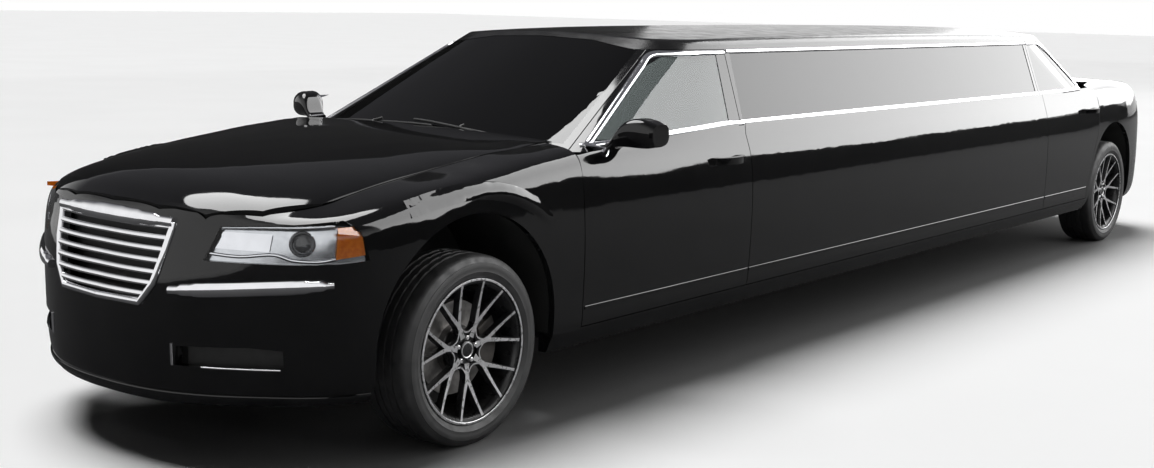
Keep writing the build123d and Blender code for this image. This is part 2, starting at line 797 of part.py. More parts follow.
# ---------------------------------------------------------------- wheels
hub_bore = 32.0
hub_face = 36.0
spoke_face = 88.0
rim_half = 116.0
barrel_inner = 236.0
disc_radius = 176.0
disc_inner_face = -14.0
disc_thickness = 28.0
spoke_count = 7
bearing_gap = 0.3


spoke_depth = 34.0
fork_radius = 112.0
fork_reach = 243.0

fork_end = Vector(fork_reach, 0).rotate(Axis.Z, 90 / spoke_count)
fork_side = (fork_end - Vector(fork_radius, 0)).normalized().rotate(Axis.Z, 90)
with BuildSketch() as fork:
    Polygon((50, -14), (fork_radius + 10, -9), (fork_radius + 10, 9), (50, 14), align=None)
    Polygon(
        *[Vector(fork_radius, 0) + fork_side * 9, Vector(fork_radius, 0) - fork_side * 9],
        *[fork_end - fork_side * 6, fork_end + fork_side * 6], align=None,
    )
    mirror(about=Plane.XZ)
spoke_fork = fork.sketch

tyre_height = 352.0


def make_tyre(axle, half_track):
    """A low-profile tyre, standing on its flattened foot."""
    half = tyre_width / 2
    with BuildPart() as body:
        with BuildSketch(Plane((axle, half_track, tyre_height), x_dir=(0, 1, 0), z_dir=(1, 0, 0))):
            with BuildLine():
                tread = Polyline((-84, tyre_radius - 2), (0, tyre_radius), (84, tyre_radius - 2))
                shoulder = ThreePointArc(tread @ 1, (107, tyre_radius - 9), (115, tyre_radius - 28))
                wall = ThreePointArc(shoulder @ 1, (half, 318), (rim_half - 6.5, 272.5))
                bead = Polyline(
                    wall @ 1, (rim_half - 15, bead_radius), (-rim_half + 15, bead_radius), (-rim_half + 6.5, 272.5)
                )
                far_wall = ThreePointArc(bead @ 1, (-half, 318), (-115, tyre_radius - 28))
                ThreePointArc(far_wall @ 1, (-107, tyre_radius - 9), tread @ 0)
            make_face()
        revolve(axis=Axis((axle, half_track, tyre_height), (0, 1, 0)))
        add(block(axle - 500, axle + 500, 500, 1100, -100, 0), mode=Mode.SUBTRACT)
    return body.part


def make_wheel(axle, half_track):
    """The rim with seven forked spokes, and the brake disc that turns with it."""
    centre = (axle, half_track, tyre_height)
    with BuildPart() as body:
        with BuildSketch(Plane(centre, x_dir=(0, 1, 0), z_dir=(1, 0, 0))):
            with BuildLine():
                Polyline(
                    (rim_half, 271), (rim_half, 262), (rim_half - 12, 246), (60, barrel_inner), (-rim_half + 8, barrel_inner),
                    (-rim_half, 262), (-rim_half, 271), (-rim_half + 5, 271), (-rim_half + 14, 253.8), (-40, 250),
                    (40, 250), (rim_half - 14, 253.8), (rim_half - 5, 271), close=True,
                )
            make_face()
            with BuildLine():
                Polyline(
                    (hub_face, hub_bore), (hub_face, 82), (60, 82), (spoke_face - 12, 70), (spoke_face - 12, hub_bore),
                    close=True,
                )
            make_face()
            with BuildLine():
                Polyline(
                    (disc_inner_face, 90), (disc_inner_face, disc_radius), (disc_inner_face + disc_thickness, disc_radius),
                    (disc_inner_face + disc_thickness, 90), (hub_face, 90), (hub_face, hub_bore), (hub_face - 8, hub_bore),
                    (hub_face - 8, 80), (disc_inner_face + 4, 80), (disc_inner_face + 4, 90), close=True,
                )
            make_face()
        revolve(axis=Axis(centre, (0, 1, 0)))
        with BuildSketch(Plane((axle, half_track + spoke_face - spoke_depth, tyre_height), x_dir=(1, 0, 0), z_dir=(0, 1, 0))):
            with PolarLocations(0, spoke_count):
                add(spoke_fork)
        extrude(amount=spoke_depth)
        with BuildSketch(Plane((axle, half_track + spoke_face - 14, tyre_height), x_dir=(1, 0, 0), z_dir=(0, 1, 0))):
            Circle(34)
        extrude(amount=10)
    return body.part


front_half_track = track_front / 2
rear_half_track = track_rear / 2
for name, axle, half_track in (("front", front_axle, front_half_track), ("rear", rear_axle, rear_half_track)):
    write_sides(make_wheel(axle, half_track), name + "_wheel")
    write_sides(make_tyre(axle, half_track), name + "_tyre")

# ---------------------------------------------------------------- knuckles, subframes and axles
kingpin = 722.0
joint_rise = 132.0
arm_half = 20.0


def hub_and_spindle(axle, half_track, inner):
    """A hub carrier's round body with the spindle that the wheel turns on."""
    with BuildPart() as body:
        with BuildSketch(Plane((axle, inner, tyre_height), x_dir=(1, 0, 0), z_dir=(0, 1, 0))):
            Circle(58)
        extrude(amount=half_track - 42 - inner)
        with BuildSketch(Plane((axle, half_track - 42, tyre_height), x_dir=(1, 0, 0), z_dir=(0, 1, 0))):
            Circle(hub_bore - bearing_gap)
        extrude(amount=42 + spoke_face - 16)
    return body.part


def caliper(axle, half_track):
    """A brake caliper astride the disc, behind the axle, with the bracket that carries it."""
    out = half_track + disc_inner_face
    with BuildPart() as body:
        with BuildSketch(Plane((axle, out - 26, tyre_height), x_dir=(1, 0, 0), z_dir=(0, 1, 0))):
            with BuildLine():
                outer = CenterArc((0, 0), 206, -28, 56)
                inner = CenterArc((0, 0), 122, -28, 56)
                Line(outer @ 0, inner @ 0)
                Line(outer @ 1, inner @ 1)
            make_face()
        extrude(amount=disc_thickness + 46)
        with BuildSketch(Plane((axle, out - 6, tyre_height), x_dir=(1, 0, 0), z_dir=(0, 1, 0))):
            Circle(disc_radius + 6)
        extrude(amount=disc_thickness + 12, mode=Mode.SUBTRACT)
        with BuildSketch(Plane((axle, out - 40, tyre_height), x_dir=(1, 0, 0), z_dir=(0, 1, 0))):
            with Locations((95, 0)):
                Rectangle(130, 70)
        extrude(amount=18)
    return body.part


with BuildPart() as knuckle:
    add(hub_and_spindle(front_axle, front_half_track, kingpin - 24))
    add(mirror(caliper(front_axle, front_half_track), about=Plane.YZ.offset(front_axle), mode=Mode.PRIVATE))
    with BuildSketch(Plane.XY.offset(tyre_height - joint_rise)):
        with Locations((front_axle, kingpin)):
            Circle(21)
    extrude(amount=2 * joint_rise)
write_sides(knuckle.part, "knuckle")


def arm(axle, level, thickness, inner, outer):
    """A suspension arm that widens inboard, flat, ending round under or over its ball joint."""
    with BuildPart() as body:
        with BuildSketch(Plane.XY.offset(level)):
            with BuildLine():
                Polyline(
                    (axle - arm_half, outer), (axle - 90, inner), (axle + 90, inner), (axle + arm_half, outer), close=True
                )
            make_face()
            with Locations((axle, outer)):
                Circle(arm_half)
        extrude(amount=thickness)
    return body.part


frame_half = 486.0
subframe_beam = block(front_axle - 90, front_axle + 90, -frame_half, frame_half, 196, 250)
lower_arm = arm(front_axle, tyre_height - joint_rise - seat_gap - 20, 20, frame_half - 30, kingpin)
upper_arm = arm(front_axle, tyre_height + joint_rise + seat_gap, 18, frame_half, kingpin)
rail = less(block(front_axle - 528, front_axle + 780, frame_half - 60, frame_half, 250, 330), nose_wall)
rail = rail.solids().sort_by(SortBy.VOLUME)[-1]
front_subframe = joined(subframe_beam, both_sides(lower_arm), both_sides(rail), both_sides(upper_arm))
write(front_subframe, "front_subframe")

rear_hub = joined(
    hub_and_spindle(rear_axle, rear_half_track, 690),
    mirror(caliper(rear_axle, rear_half_track), about=Plane.YZ.offset(rear_axle), mode=Mode.PRIVATE),
    arm(rear_axle, 240, 24, 330, 700),
    block(rear_axle - 22, rear_axle + 22, 680, 712, 240, 352),
)
with BuildPart() as half_shaft:
    with BuildSketch(Plane.XZ.offset(-150)):
        with Locations((rear_axle, tyre_height)):
            Circle(18)
    extrude(amount=-(700 - 150))
with BuildPart() as final_drive:
    with BuildSketch(Plane.XZ.offset(-160)):
        with Locations((rear_axle, tyre_height - 10)):
            Circle(105)
    extrude(amount=320)
rear_beam = block(rear_axle - 110, rear_axle + 110, -420, 420, 236, 262)
with BuildPart() as bushes:
    with BuildSketch(Plane.XY.offset(262)):
        with GridLocations(160, 660, 2, 2):
            Circle(26)
    extrude(amount=boot_floor - 262)
rear_axle_part = joined(
    both_sides(joined(rear_hub, half_shaft.part)), final_drive.part, rear_beam,
    bushes.part.moved(Location((rear_axle, 0, 0))),
)
write(rear_axle_part, "rear_axle")

with BuildPart() as prop_shaft:
    with BuildSketch(Plane.YZ.offset(rear_axle + 105 + seat_gap)):
        with Locations((0, tyre_height - 10)):
            Circle(34)
    extrude(amount=wheelbase - 330 - 105 - 2 * seat_gap)
write(prop_shaft.part, "prop_shaft")

# ---------------------------------------------------------------- floor, engine bay and boot
plate = 12.0
wing_inner = 474.0
bay_front = front_axle + 700.0
firewall = front_axle - 540.0
cabin_rear = rear_axle + 450.0
cabin_half = 868.0
tunnel_half = 120.0
tunnel_top = 440.0
cowl_top = waist_level
liner_radius = arch_radius + 6
rear_liner_radius = rear_arch_radius + 6
boot_half = 560.0
shelf_level = 1060.0
shelf_half = 670.0


def plate_x(x, y0, y1, z0, z1):
    """An upright plate across the car."""
    return block(x, x + plate, y0, y1, z0, z1)


def plate_y(y, x0, x1, z0, z1):
    """An upright plate along the car, and its twin on the right."""
    return both_sides(block(x0, x1, y, y + plate, z0, z1))


def wheel_liner(axle, offset_x, radius, inner, bottom, wall):
    """The arched liner over a left wheel, up to the inside of the outer wall."""
    with BuildPart() as body:
        with BuildSketch(Plane.XZ.offset(-inner)):
            with Locations((axle + offset_x, arch_height)):
                Circle(radius + plate / 2)
                Circle(radius, mode=Mode.SUBTRACT)
                with Locations((0, -radius)):
                    Rectangle(4 * radius, 2 * radius, mode=Mode.SUBTRACT)
            for side in (-1, 1):
                with Locations((axle + offset_x + side * (radius + plate / 4), (arch_height + bottom) / 2)):
                    Rectangle(plate / 2, arch_height - bottom)
        extrude(amount=-(half_width - 10 - inner))
        add(wall, mode=Mode.SUBTRACT)
    return body.part.solids().sort_by(SortBy.VOLUME)[-1]


tunnel = block(-6000, 6000, -tunnel_half - plate - seat_gap, tunnel_half + plate + seat_gap, 0, tunnel_top)
tunnel_way = block(-6000, 6000, -tunnel_half, tunnel_half, 0, tunnel_top - plate)
hinge_post = joined(
    block(front_axle - 598, front_axle - 520, cabin_half, post_outer, sill_top, 985),
    *[block(front_axle - 598, front_axle - 556, cabin_half, strap_outer, level, level + lug) for level in hinge_levels],
)
floor_pan = joined(
    less(
        block(cabin_rear, firewall, -cabin_half, cabin_half, floor_height, floor_height + floor_thickness),
        block(cabin_rear - 1, firewall + 1, -tunnel_half, tunnel_half, 0, 1000),
    ),
    less(
        block(cabin_rear, firewall, -tunnel_half - plate, tunnel_half + plate, floor_height, tunnel_top), tunnel_way
    ),
)
write(floor_pan, "floor_pan")

with BuildPart() as sill:
    with BuildSketch(Plane.YZ.offset(rear_axle + 372)):
        with BuildLine():
            (d0, z0), (d1, z1), (d2, z2) = side_profile[:3]
            Polyline(
                (half_width - d0, z0), (half_width - d1, z1), (half_width - d1, sill_top), (cabin_half, sill_top),
                (cabin_half, z0), close=True,
            )
        make_face()
    extrude(amount=wheelbase - 744)
    add(front_arch, mode=Mode.SUBTRACT)
    add(rear_arch, mode=Mode.SUBTRACT)
sill_left = joined(sill.part, hinge_post)
write(both_sides(sill_left), "sills")

hood_bracket = block(front_axle - 634, front_axle - 560, 600 + hinge_plate, 600 + 2 * hinge_plate - seat_gap, 1010, 1040)
engine_bay = joined(
    plate_y(wing_inner, firewall, bay_front, 330, 860),
    less(plate_x(firewall, -wing_inner - plate, wing_inner + plate, floor_height, cowl_top), tunnel_way),
    plate_x(bay_front, -wing_inner - plate, wing_inner + plate, 330, 840),
    block(front_axle - 700, firewall, -700, 700, cowl_top - plate, cowl_top),
    both_sides(wheel_liner(front_axle, 15, liner_radius, wing_inner + plate, sill_top, nose_wall)),
    both_sides(hood_bracket),
)
write(engine_bay, "engine_bay")
engine = block(front_axle - 330, front_axle + 330, -260, 260, 250 + seat_gap, 850)
write(engine, "engine")

tub_rear = rear_axle - rear_overhang
lid_bracket = block(rear_axle + 44, rear_axle + 118, 640 + hinge_plate, 640 + 2 * hinge_plate - seat_gap, shelf_level, 1096)
tub_walls = joined(
    block(tub_rear, cabin_rear, -boot_half, boot_half, boot_floor, boot_floor + plate),
    plate_y(boot_half, tub_rear, cabin_rear, boot_floor, lid_bottom - 25),
    plate_y(boot_half, rear_axle - 870, cabin_rear, lid_bottom - 25, 1010),
    less(plate_x(cabin_rear - plate, -cabin_half, cabin_half, floor_height, 900), tunnel_way),
    plate_x(cabin_rear - plate, -shelf_half, shelf_half, 900, shelf_level),
    block(rear_axle + 40, cabin_rear, -shelf_half, shelf_half, shelf_level, shelf_level + plate),
    both_sides(wheel_liner(rear_axle, 0, rear_liner_radius, boot_half + plate, sill_top, tail_wall)),
    plate_x(rear_axle - 940, -boot_half, boot_half, boot_floor, lid_bottom - 25),
    common(
        glasshouse_shell,
        screen_opening([(690, 1000)] + backlight_line, *backlight_span),
        block(rear_axle + boot_front + shut_gap, rear_axle + 260, -690, 690, shelf_level + plate, 1118),
    ),
    both_sides(lid_bracket),
)
boot_tub = less(tub_walls, both_sides(tail_wall)).solids().sort_by(SortBy.VOLUME)[-1]
write(boot_tub, "boot_tub")

# ---------------------------------------------------------------- cabin
cabin_floor = floor_height + floor_thickness + seat_gap
column_rise = 24.0


def seat(front, y, width, cushion_top, back_top):
    """A seat's cushion and back as one soft block that faces forward."""
    with BuildPart() as body:
        with BuildSketch(Plane.XZ.offset(-(y - width / 2))):
            with BuildLine():
                Polyline(
                    (front, cabin_floor), (front + 15, cushion_top), (front - 480, cushion_top - 30),
                    (front - 610, back_top), (front - 710, back_top - 15), (front - 620, cabin_floor), close=True,
                )
            make_face()
            fillet(vertices().group_by(Axis.Y)[-1], 30)
        extrude(amount=-width)
    return body.part


front_seats = joined(
    seat(front_axle - 1130, 400, 510, 560, 1130),
    seat(front_axle - 1130, -400, 510, 560, 1130),
)
write(front_seats, "front_seats")
write(less(seat(cabin_rear + 715, 0, 1300, 570, 1010), tunnel), "rear_bench")
with BuildPart() as lounge:
    with BuildSketch(Plane.YZ.offset(rear_axle + 1300)):
        with BuildLine():
            Polyline(
                (-330, cabin_floor), (-320, 560), (-640, 545), (-730, 960), (-810, 960), (-800, cabin_floor), close=True
            )
        make_face()
    extrude(amount=2900)
write(lounge.part, "side_bench")

partition_x = front_axle - 2060
partition = less(
    joined(
        block(partition_x, partition_x + 40, -820, 820, cabin_floor, 1020),
        block(partition_x, partition_x + 40, -720, 720, 1020, 1300),
    ),
    block(partition_x - 1, partition_x + 41, -420, 420, 820, 1240),
    tunnel,
)
write(partition, "partition")
column = Plane(
    (front_axle - 905, 380, 800),
    x_dir=(0, 1, 0),
    z_dir=(-math.cos(math.radians(column_rise)), 0, math.sin(math.radians(column_rise))),
)
with BuildPart() as dashboard:
    with BuildSketch(Plane.XZ.offset(-690)):
        with BuildLine():
            Polyline(
                (firewall, 700), (firewall, 985), (front_axle - 720, 985), (front_axle - 900, 950),
                (front_axle - 935, 860), (front_axle - 880, 700), close=True,
            )
        make_face()
        fillet(vertices().group_by(Axis.X)[0], 20)
    extrude(amount=1380)
    with BuildSketch(Plane.YZ.offset(front_axle - 1000)):
        with Locations((0, (tunnel_top + seat_gap + 760) / 2)):
            Rectangle(2 * tunnel_half, 760 - tunnel_top - seat_gap)
    extrude(amount=200)
    with Locations(column):
        Cylinder(24, 150)
write(dashboard.part, "dashboard")
with BuildPart() as steering_wheel:
    with BuildSketch(column.offset(75 + seat_gap)):
        Circle(20)
    extrude(amount=36)
    with BuildSketch(column.offset(92)):
        Circle(62)
        with PolarLocations(105, 3, start_angle=-90):
            Rectangle(140, 34)
    extrude(amount=22)
    with BuildSketch(Plane(column.offset(104).origin, x_dir=column.x_dir, z_dir=column.z_dir.cross(column.x_dir))):
        with Locations((176, 0)):
            Circle(14)
    revolve(axis=Axis(column.origin, column.z_dir))
write(steering_wheel.part, "steering_wheel")

# ---------------------------------------------------------------- mirrors and handles
mirror_sections = [
    (878, -846, 1040, 96, 40),
    (918, -856, 1072, 112, 52),
    (945, -868, 1094, 130, 92),
    (985, -886, 1104, 146, 116),
    (1045, -908, 1100, 140, 108),
    (1074, -918, 1098, 112, 84),
]
with BuildPart() as mirror_head:
    for y, x, z, length, height in mirror_sections:
        with BuildSketch(Plane((front_axle + x, y, z), x_dir=(1, 0, 0), z_dir=(0, -1, 0))):
            RectangleRounded(length, height, min(length, height) * 0.42)
    loft()
write_sides(less(mirror_head.part, front_door_left).solids().sort_by(SortBy.VOLUME)[-1], "mirror")


def handle(front, level):
    """A pull handle that stands off the door on two feet."""
    face = half_width - 6
    with BuildPart() as body:
        with BuildSketch(Plane.XY.offset(level - 15)):
            with BuildLine():
                grip = Spline((front, face + 8), (front - 40, face + 34), (front - 190, face + 34), (front - 230, face + 8))
                Polyline(grip @ 1, (front - 230, face - 12), (front - 195, face - 12), (front - 190, face + 16),
                         (front - 40, face + 16), (front - 35, face - 12), (front, face - 12), grip @ 0)
            make_face()
        extrude(amount=30)
    return body.part


write_sides(less(handle(front_axle - 1505, 940), front_door_left), "front_handle")
write_sides(less(handle(rear_axle + 610, 952), rear_door_left), "rear_handle")

# ---------------------------------------------------------------- exhaust
with BuildPart() as exhaust:
    with BuildLine() as route:
        FilletPolyline(
            (front_axle - 620, 190, 205), (rear_axle + 420, 190, 205), (rear_axle + 200, 190, 195),
            (rear_axle - 260, 200, 195), (rear_axle - 520, 430, 330), (rear_axle - 600, 430, 330), radius=60,
        )
    with BuildSketch(Plane(route.line @ 0, z_dir=route.line % 0)):
        Circle(28)
    sweep()
    with BuildSketch(Plane.YZ.offset(rear_axle - 900)):
        with Locations((430, boot_floor - seat_gap - 105)):
            RectangleRounded(230, 210, 50)
    extrude(amount=330)
    with BuildSketch(Plane.YZ.offset(rear_axle - 1030)):
        with Locations((505, 248)):
            Circle(38)
            Circle(34, mode=Mode.SUBTRACT)
    extrude(amount=200)
write(both_sides(exhaust.part), "exhaust")
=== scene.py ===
"""The looks of a stretched luxury sedan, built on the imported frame, in metres.

+X is forward, +Y is the car's left and +Z is up, as in the frame. Places come from the frame's
own boxes and surfaces: a line shot at the bodywork gives the point and the facing that trim is
laid on.
"""

import json
import math

import bmesh
import bpy
from mathutils import Matrix, Vector, noise as wobble
from mathutils.bvhtree import BVHTree


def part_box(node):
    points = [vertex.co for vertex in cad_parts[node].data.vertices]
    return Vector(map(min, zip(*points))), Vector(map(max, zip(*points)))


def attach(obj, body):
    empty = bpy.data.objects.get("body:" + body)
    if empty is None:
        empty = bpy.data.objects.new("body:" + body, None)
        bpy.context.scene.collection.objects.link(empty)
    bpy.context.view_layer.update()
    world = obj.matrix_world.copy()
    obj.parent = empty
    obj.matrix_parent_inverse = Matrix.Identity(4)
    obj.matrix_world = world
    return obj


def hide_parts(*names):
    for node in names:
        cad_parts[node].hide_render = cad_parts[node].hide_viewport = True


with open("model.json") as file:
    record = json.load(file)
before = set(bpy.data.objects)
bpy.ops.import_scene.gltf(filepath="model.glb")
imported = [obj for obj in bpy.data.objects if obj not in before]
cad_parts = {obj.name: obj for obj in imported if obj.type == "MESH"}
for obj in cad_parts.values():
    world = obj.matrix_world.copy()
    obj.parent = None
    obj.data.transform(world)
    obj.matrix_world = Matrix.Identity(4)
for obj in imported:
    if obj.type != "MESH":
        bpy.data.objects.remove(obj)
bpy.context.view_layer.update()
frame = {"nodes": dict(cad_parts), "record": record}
nodes = frame["nodes"]


def centre_of(node):
    """The middle of a node's box."""
    low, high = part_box(node)
    return (Vector(low) + Vector(high)) / 2


front = centre_of("front_wheel_left").x
rear = centre_of("rear_wheel_left").x
# Where the lines shot at the bodywork start.
before_nose = front + 1.3
behind_tail = rear - 1.4
beside_car = 2.0
above_car = 2.0


# ---------------------------------------------------------------- materials
def new_material(name):
    """A new material with its node tree."""
    mat = bpy.data.materials.new(name)
    mat.use_nodes = True
    return mat, mat.node_tree


def noise(tree, scale, detail=4.0):
    """A noise texture fixed to the piece."""
    place = tree.nodes.new("ShaderNodeTexCoord")
    texture = tree.nodes.new("ShaderNodeTexNoise")
    texture.inputs["Scale"].default_value = scale
    texture.inputs["Detail"].default_value = detail
    tree.links.new(place.outputs["Object"], texture.inputs["Vector"])
    return texture.outputs["Fac"]


def spread(tree, fac, low, high, start=0.35, end=0.65):
    """Turns a factor into a run between two colours or two numbers."""
    ramp = tree.nodes.new("ShaderNodeValToRGB")
    ramp.color_ramp.elements[0].position = start
    ramp.color_ramp.elements[1].position = end
    for element, value in zip(ramp.color_ramp.elements, (low, high)):
        element.color = (*value, 1) if isinstance(value, tuple) else (value, value, value, 1)
    tree.links.new(fac, ramp.inputs["Fac"])
    return ramp.outputs["Color"]


def finish_of(
    name, low, high, scale, roughness, rough_spread=0.05, grain=0, strength=0.0, depth=0.001,
    **sockets
):
    """A material whose colour and roughness wander a little, with a fine grain where it has one.

    Further shader sockets are given by name, with _ for a space.
    """
    mat, tree = new_material(name)
    bsdf = tree.nodes["Principled BSDF"]
    for key, value in sockets.items():
        bsdf.inputs[key.replace("_", " ")].default_value = value
    drift = noise(tree, scale)
    tree.links.new(spread(tree, drift, low, high), bsdf.inputs["Base Color"])
    rough = spread(tree, drift, roughness - rough_spread / 2, roughness + rough_spread / 2)
    tree.links.new(rough, bsdf.inputs["Roughness"])
    if grain:
        bump = tree.nodes.new("ShaderNodeBump")
        bump.inputs["Strength"].default_value = strength
        bump.inputs["Distance"].default_value = depth
        tree.links.new(noise(tree, grain), bump.inputs["Height"])
        tree.links.new(bump.outputs["Normal"], bsdf.inputs["Normal"])
    return mat


def pane_of(name, low, high, roughness=0.0, ior=1.5, painted_light_share=0.0):
    """Thin glass: what is behind it, tinted, with a sheen that grows towards its edge-on view.

    The last argument is the share of it given a pale diffuse colour: painted light that stands in
    for the brightness seen through the car and reflected in it.
    """
    mat, tree = new_material(name)
    tree.nodes.remove(tree.nodes["Principled BSDF"])
    clear = tree.nodes.new("ShaderNodeBsdfTransparent")
    tree.links.new(spread(tree, noise(tree, 2.5), low, high), clear.inputs["Color"])
    sheen = tree.nodes.new("ShaderNodeBsdfGlossy")
    sheen.inputs["Roughness"].default_value = roughness
    edge = tree.nodes.new("ShaderNodeFresnel")
    edge.inputs["IOR"].default_value = ior
    body = clear.outputs["BSDF"]
    if painted_light_share:
        # A pale diffuse layer in the glass's tint: painted light for the brightness seen through
        # the car and reflected in the glass.
        painted_light_layer = tree.nodes.new("ShaderNodeBsdfDiffuse")
        painted_light_layer.inputs["Color"].default_value = (*high, 1)
        share = tree.nodes.new("ShaderNodeMixShader")
        share.inputs["Fac"].default_value = painted_light_share
        tree.links.new(body, share.inputs[1])
        tree.links.new(painted_light_layer.outputs["BSDF"], share.inputs[2])
        body = share.outputs["Shader"]
    mix = tree.nodes.new("ShaderNodeMixShader")
    tree.links.new(edge.outputs["Fac"], mix.inputs["Fac"])
    tree.links.new(body, mix.inputs[1])
    tree.links.new(sheen.outputs["BSDF"], mix.inputs[2])
    tree.links.new(mix.outputs["Shader"], tree.nodes["Material Output"].inputs["Surface"])
    return mat


paint = finish_of(
    "paint", (0.005, 0.005, 0.0055), (0.007, 0.007, 0.0075), 9.0, 0.05, 0.02,
    600.0, 0.015, 0.0002, IOR=1.5,
)
roof_paint = finish_of("roof_paint", 0.006, 0.009, 11.0, 0.2, 0.06, 500.0, 0.05, 0.0003)
chrome = finish_of(
    "chrome", (0.80, 0.80, 0.82), (0.86, 0.86, 0.88), 14.0, 0.07, 0.03, Metallic=1.0,
)
silver = finish_of(
    "silver", (0.62, 0.63, 0.65), (0.72, 0.73, 0.75), 30.0, 0.22, 0.06, Metallic=1.0,
)
machined = finish_of(
    "machined", (0.62, 0.62, 0.63), (0.72, 0.72, 0.73), 60.0, 0.3, 0.08,
    300.0, 0.1, 0.0003, Metallic=0.6,
)
wheel_black = finish_of(
    "wheel_black", (0.010, 0.010, 0.011), (0.016, 0.016, 0.017), 30.0, 0.3, 0.08,
)
dark_glass = pane_of("dark_glass", (0.035, 0.040, 0.042), (0.045, 0.050, 0.052))
# The clear glass's pale diffuse share is painted light, standing in for the bright view through the
# car and the sky in the panes.
clear_glass = pane_of("clear_glass", (0.70, 0.82, 0.80), (0.74, 0.86, 0.84), ior=1.6, painted_light_share=0.25)
lens = pane_of("lens", (0.93, 0.94, 0.95), (0.96, 0.97, 0.98), ior=1.35)
amber = finish_of(
    "amber", (0.80, 0.20, 0.01), (0.92, 0.28, 0.015), 60.0, 0.15, 0.05, Coat_Weight=0.6,
)
red = finish_of(
    "red", (0.30, 0.004, 0.006), (0.46, 0.010, 0.012), 50.0, 0.08, 0.03, Coat_Weight=0.6,
)
ball = finish_of(
    "ball", (0.020, 0.022, 0.026), (0.032, 0.034, 0.040), 20.0, 0.03, 0.01, Coat_Weight=1.0,
)
rubber = finish_of(
    "rubber", (0.016, 0.016, 0.017), (0.026, 0.026, 0.027), 26.0, 0.62, 0.2,
    380.0, 0.25, 0.0006,
)
iron = finish_of(
    "iron", (0.05, 0.047, 0.044), (0.09, 0.082, 0.075), 22.0, 0.6, 0.2,
    160.0, 0.3, 0.001, Metallic=0.6,
)
disc_steel = finish_of(
    "disc_steel", (0.20, 0.195, 0.19), (0.28, 0.27, 0.26), 40.0, 0.4, 0.1, Metallic=1.0,
)
underseal = finish_of(
    "underseal", (0.010, 0.010, 0.010), (0.017, 0.017, 0.016), 8.0, 0.75, 0.15,
    90.0, 0.4, 0.002,
)
pipe_steel = finish_of(
    "pipe_steel", (0.22, 0.20, 0.18), (0.34, 0.32, 0.30), 12.0, 0.4, 0.2, Metallic=1.0,
)
leather = finish_of(
    "leather", (0.030, 0.028, 0.026), (0.046, 0.043, 0.040), 18.0, 0.48, 0.12,
    240.0, 0.35, 0.0008,
)
trim = finish_of("trim", 0.012, 0.020, 30.0, 0.5, 0.1, 420.0, 0.3, 0.0005)

finishes = {
    "paint": paint,
    "roof_paint": roof_paint,
    "chrome": chrome,
    "dark_glass": dark_glass,
    "clear_glass": clear_glass,
    "lamp_glass": lens,
    "tail_lamp_glass": red,
    "wheel_alloy": machined,
    "tyre": rubber,
    "cast_iron": iron,
    "underbody": underseal,
    "steel": pipe_steel,
    "leather": leather,
    "trim": trim,
}
for part in frame["record"]["subparts"]:
    mesh = nodes[part["node"]].data
    mesh.materials.clear()
    mesh.materials.append(finishes[part["material_slot"]])


# ---------------------------------------------------------------- making pieces
def piece(name, verts, faces, finish, body="body", sharp=40, groups=None):
    """A mesh piece on a body, smooth but for edges sharper than the angle.

    groups gives each face its place in a list of finishes.
    """
    mesh = bpy.data.meshes.new(name)
    mesh.from_pydata([tuple(v) for v in verts], [], faces)
    finish_list = finish if isinstance(finish, (list, tuple)) else [finish]
    for item in finish_list:
        mesh.materials.append(item)
    if groups:
        mesh.polygons.foreach_set("material_index", groups)
    work = bmesh.new()
    work.from_mesh(mesh)
    bmesh.ops.recalc_face_normals(work, faces=work.faces)
    work.to_mesh(mesh)
    work.free()
    mesh.shade_smooth()
    mesh.set_sharp_from_angle(angle=math.radians(sharp))
    obj = bpy.data.objects.new(name, mesh)
    bpy.context.collection.objects.link(obj)
    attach(obj, body)
    return obj


def pair(name, verts, faces, finish, body="body", **more):
    """A left-hand piece and its mirror image; a body that has a side is changed to the right's."""
    left = piece(name + "_left", verts, faces, finish, body, **more)
    mirrored = [(v[0], -v[1], v[2]) for v in verts]
    right = piece(name + "_right", mirrored, faces, finish, body.replace("_left", "_right"), **more)
    return left, right


def surface(*names):
    """A search tree over the surfaces of some nodes."""
    verts, faces = [], []
    for name in names:
        mesh = nodes[name].data
        start = len(verts)
        verts += [v.co.copy() for v in mesh.vertices]
        faces += [[start + i for i in p.vertices] for p in mesh.polygons]
    return BVHTree.FromPolygons(verts, faces)


def shoot(tree, start, along):
    """Where a line first meets the surface, and the way that the surface faces back."""
    along = Vector(along).normalized()
    spot, facing = tree.ray_cast(Vector(start), along)[:2]
    if spot is None:
        return None
    return spot, facing if facing.dot(along) < 0 else -facing


def smooth_line(points, count):
    """Points evenly spread along a smooth line through the given ones, of any dimension."""
    points = [Vector(p) for p in points]
    ends = [points[0] * 2 - points[1]] + points + [points[-1] * 2 - points[-2]]
    fine, steps = [], 12
    for k in range(1, len(ends) - 2):
        a, b, c, d = ends[k - 1:k + 3]
        for step in range(steps):
            t = step / steps
            slope, bend, twist = c - a, a * 2 - b * 5 + c * 4 - d, b * 3 - a - c * 3 + d
            fine.append(b + slope * (t / 2) + bend * (t * t / 2) + twist * (t ** 3 / 2))
    fine.append(points[-1])
    lengths = [0.0]
    for p, q in zip(fine, fine[1:]):
        lengths.append(lengths[-1] + (q - p).length)
    line, k = [], 0
    for i in range(count):
        want = lengths[-1] * i / (count - 1)
        while k < len(fine) - 2 and lengths[k + 1] < want:
            k += 1
        share = (want - lengths[k]) / max(lengths[k + 1] - lengths[k], 1e-9)
        line.append(fine[k] + (fine[k + 1] - fine[k]) * share)
    return line


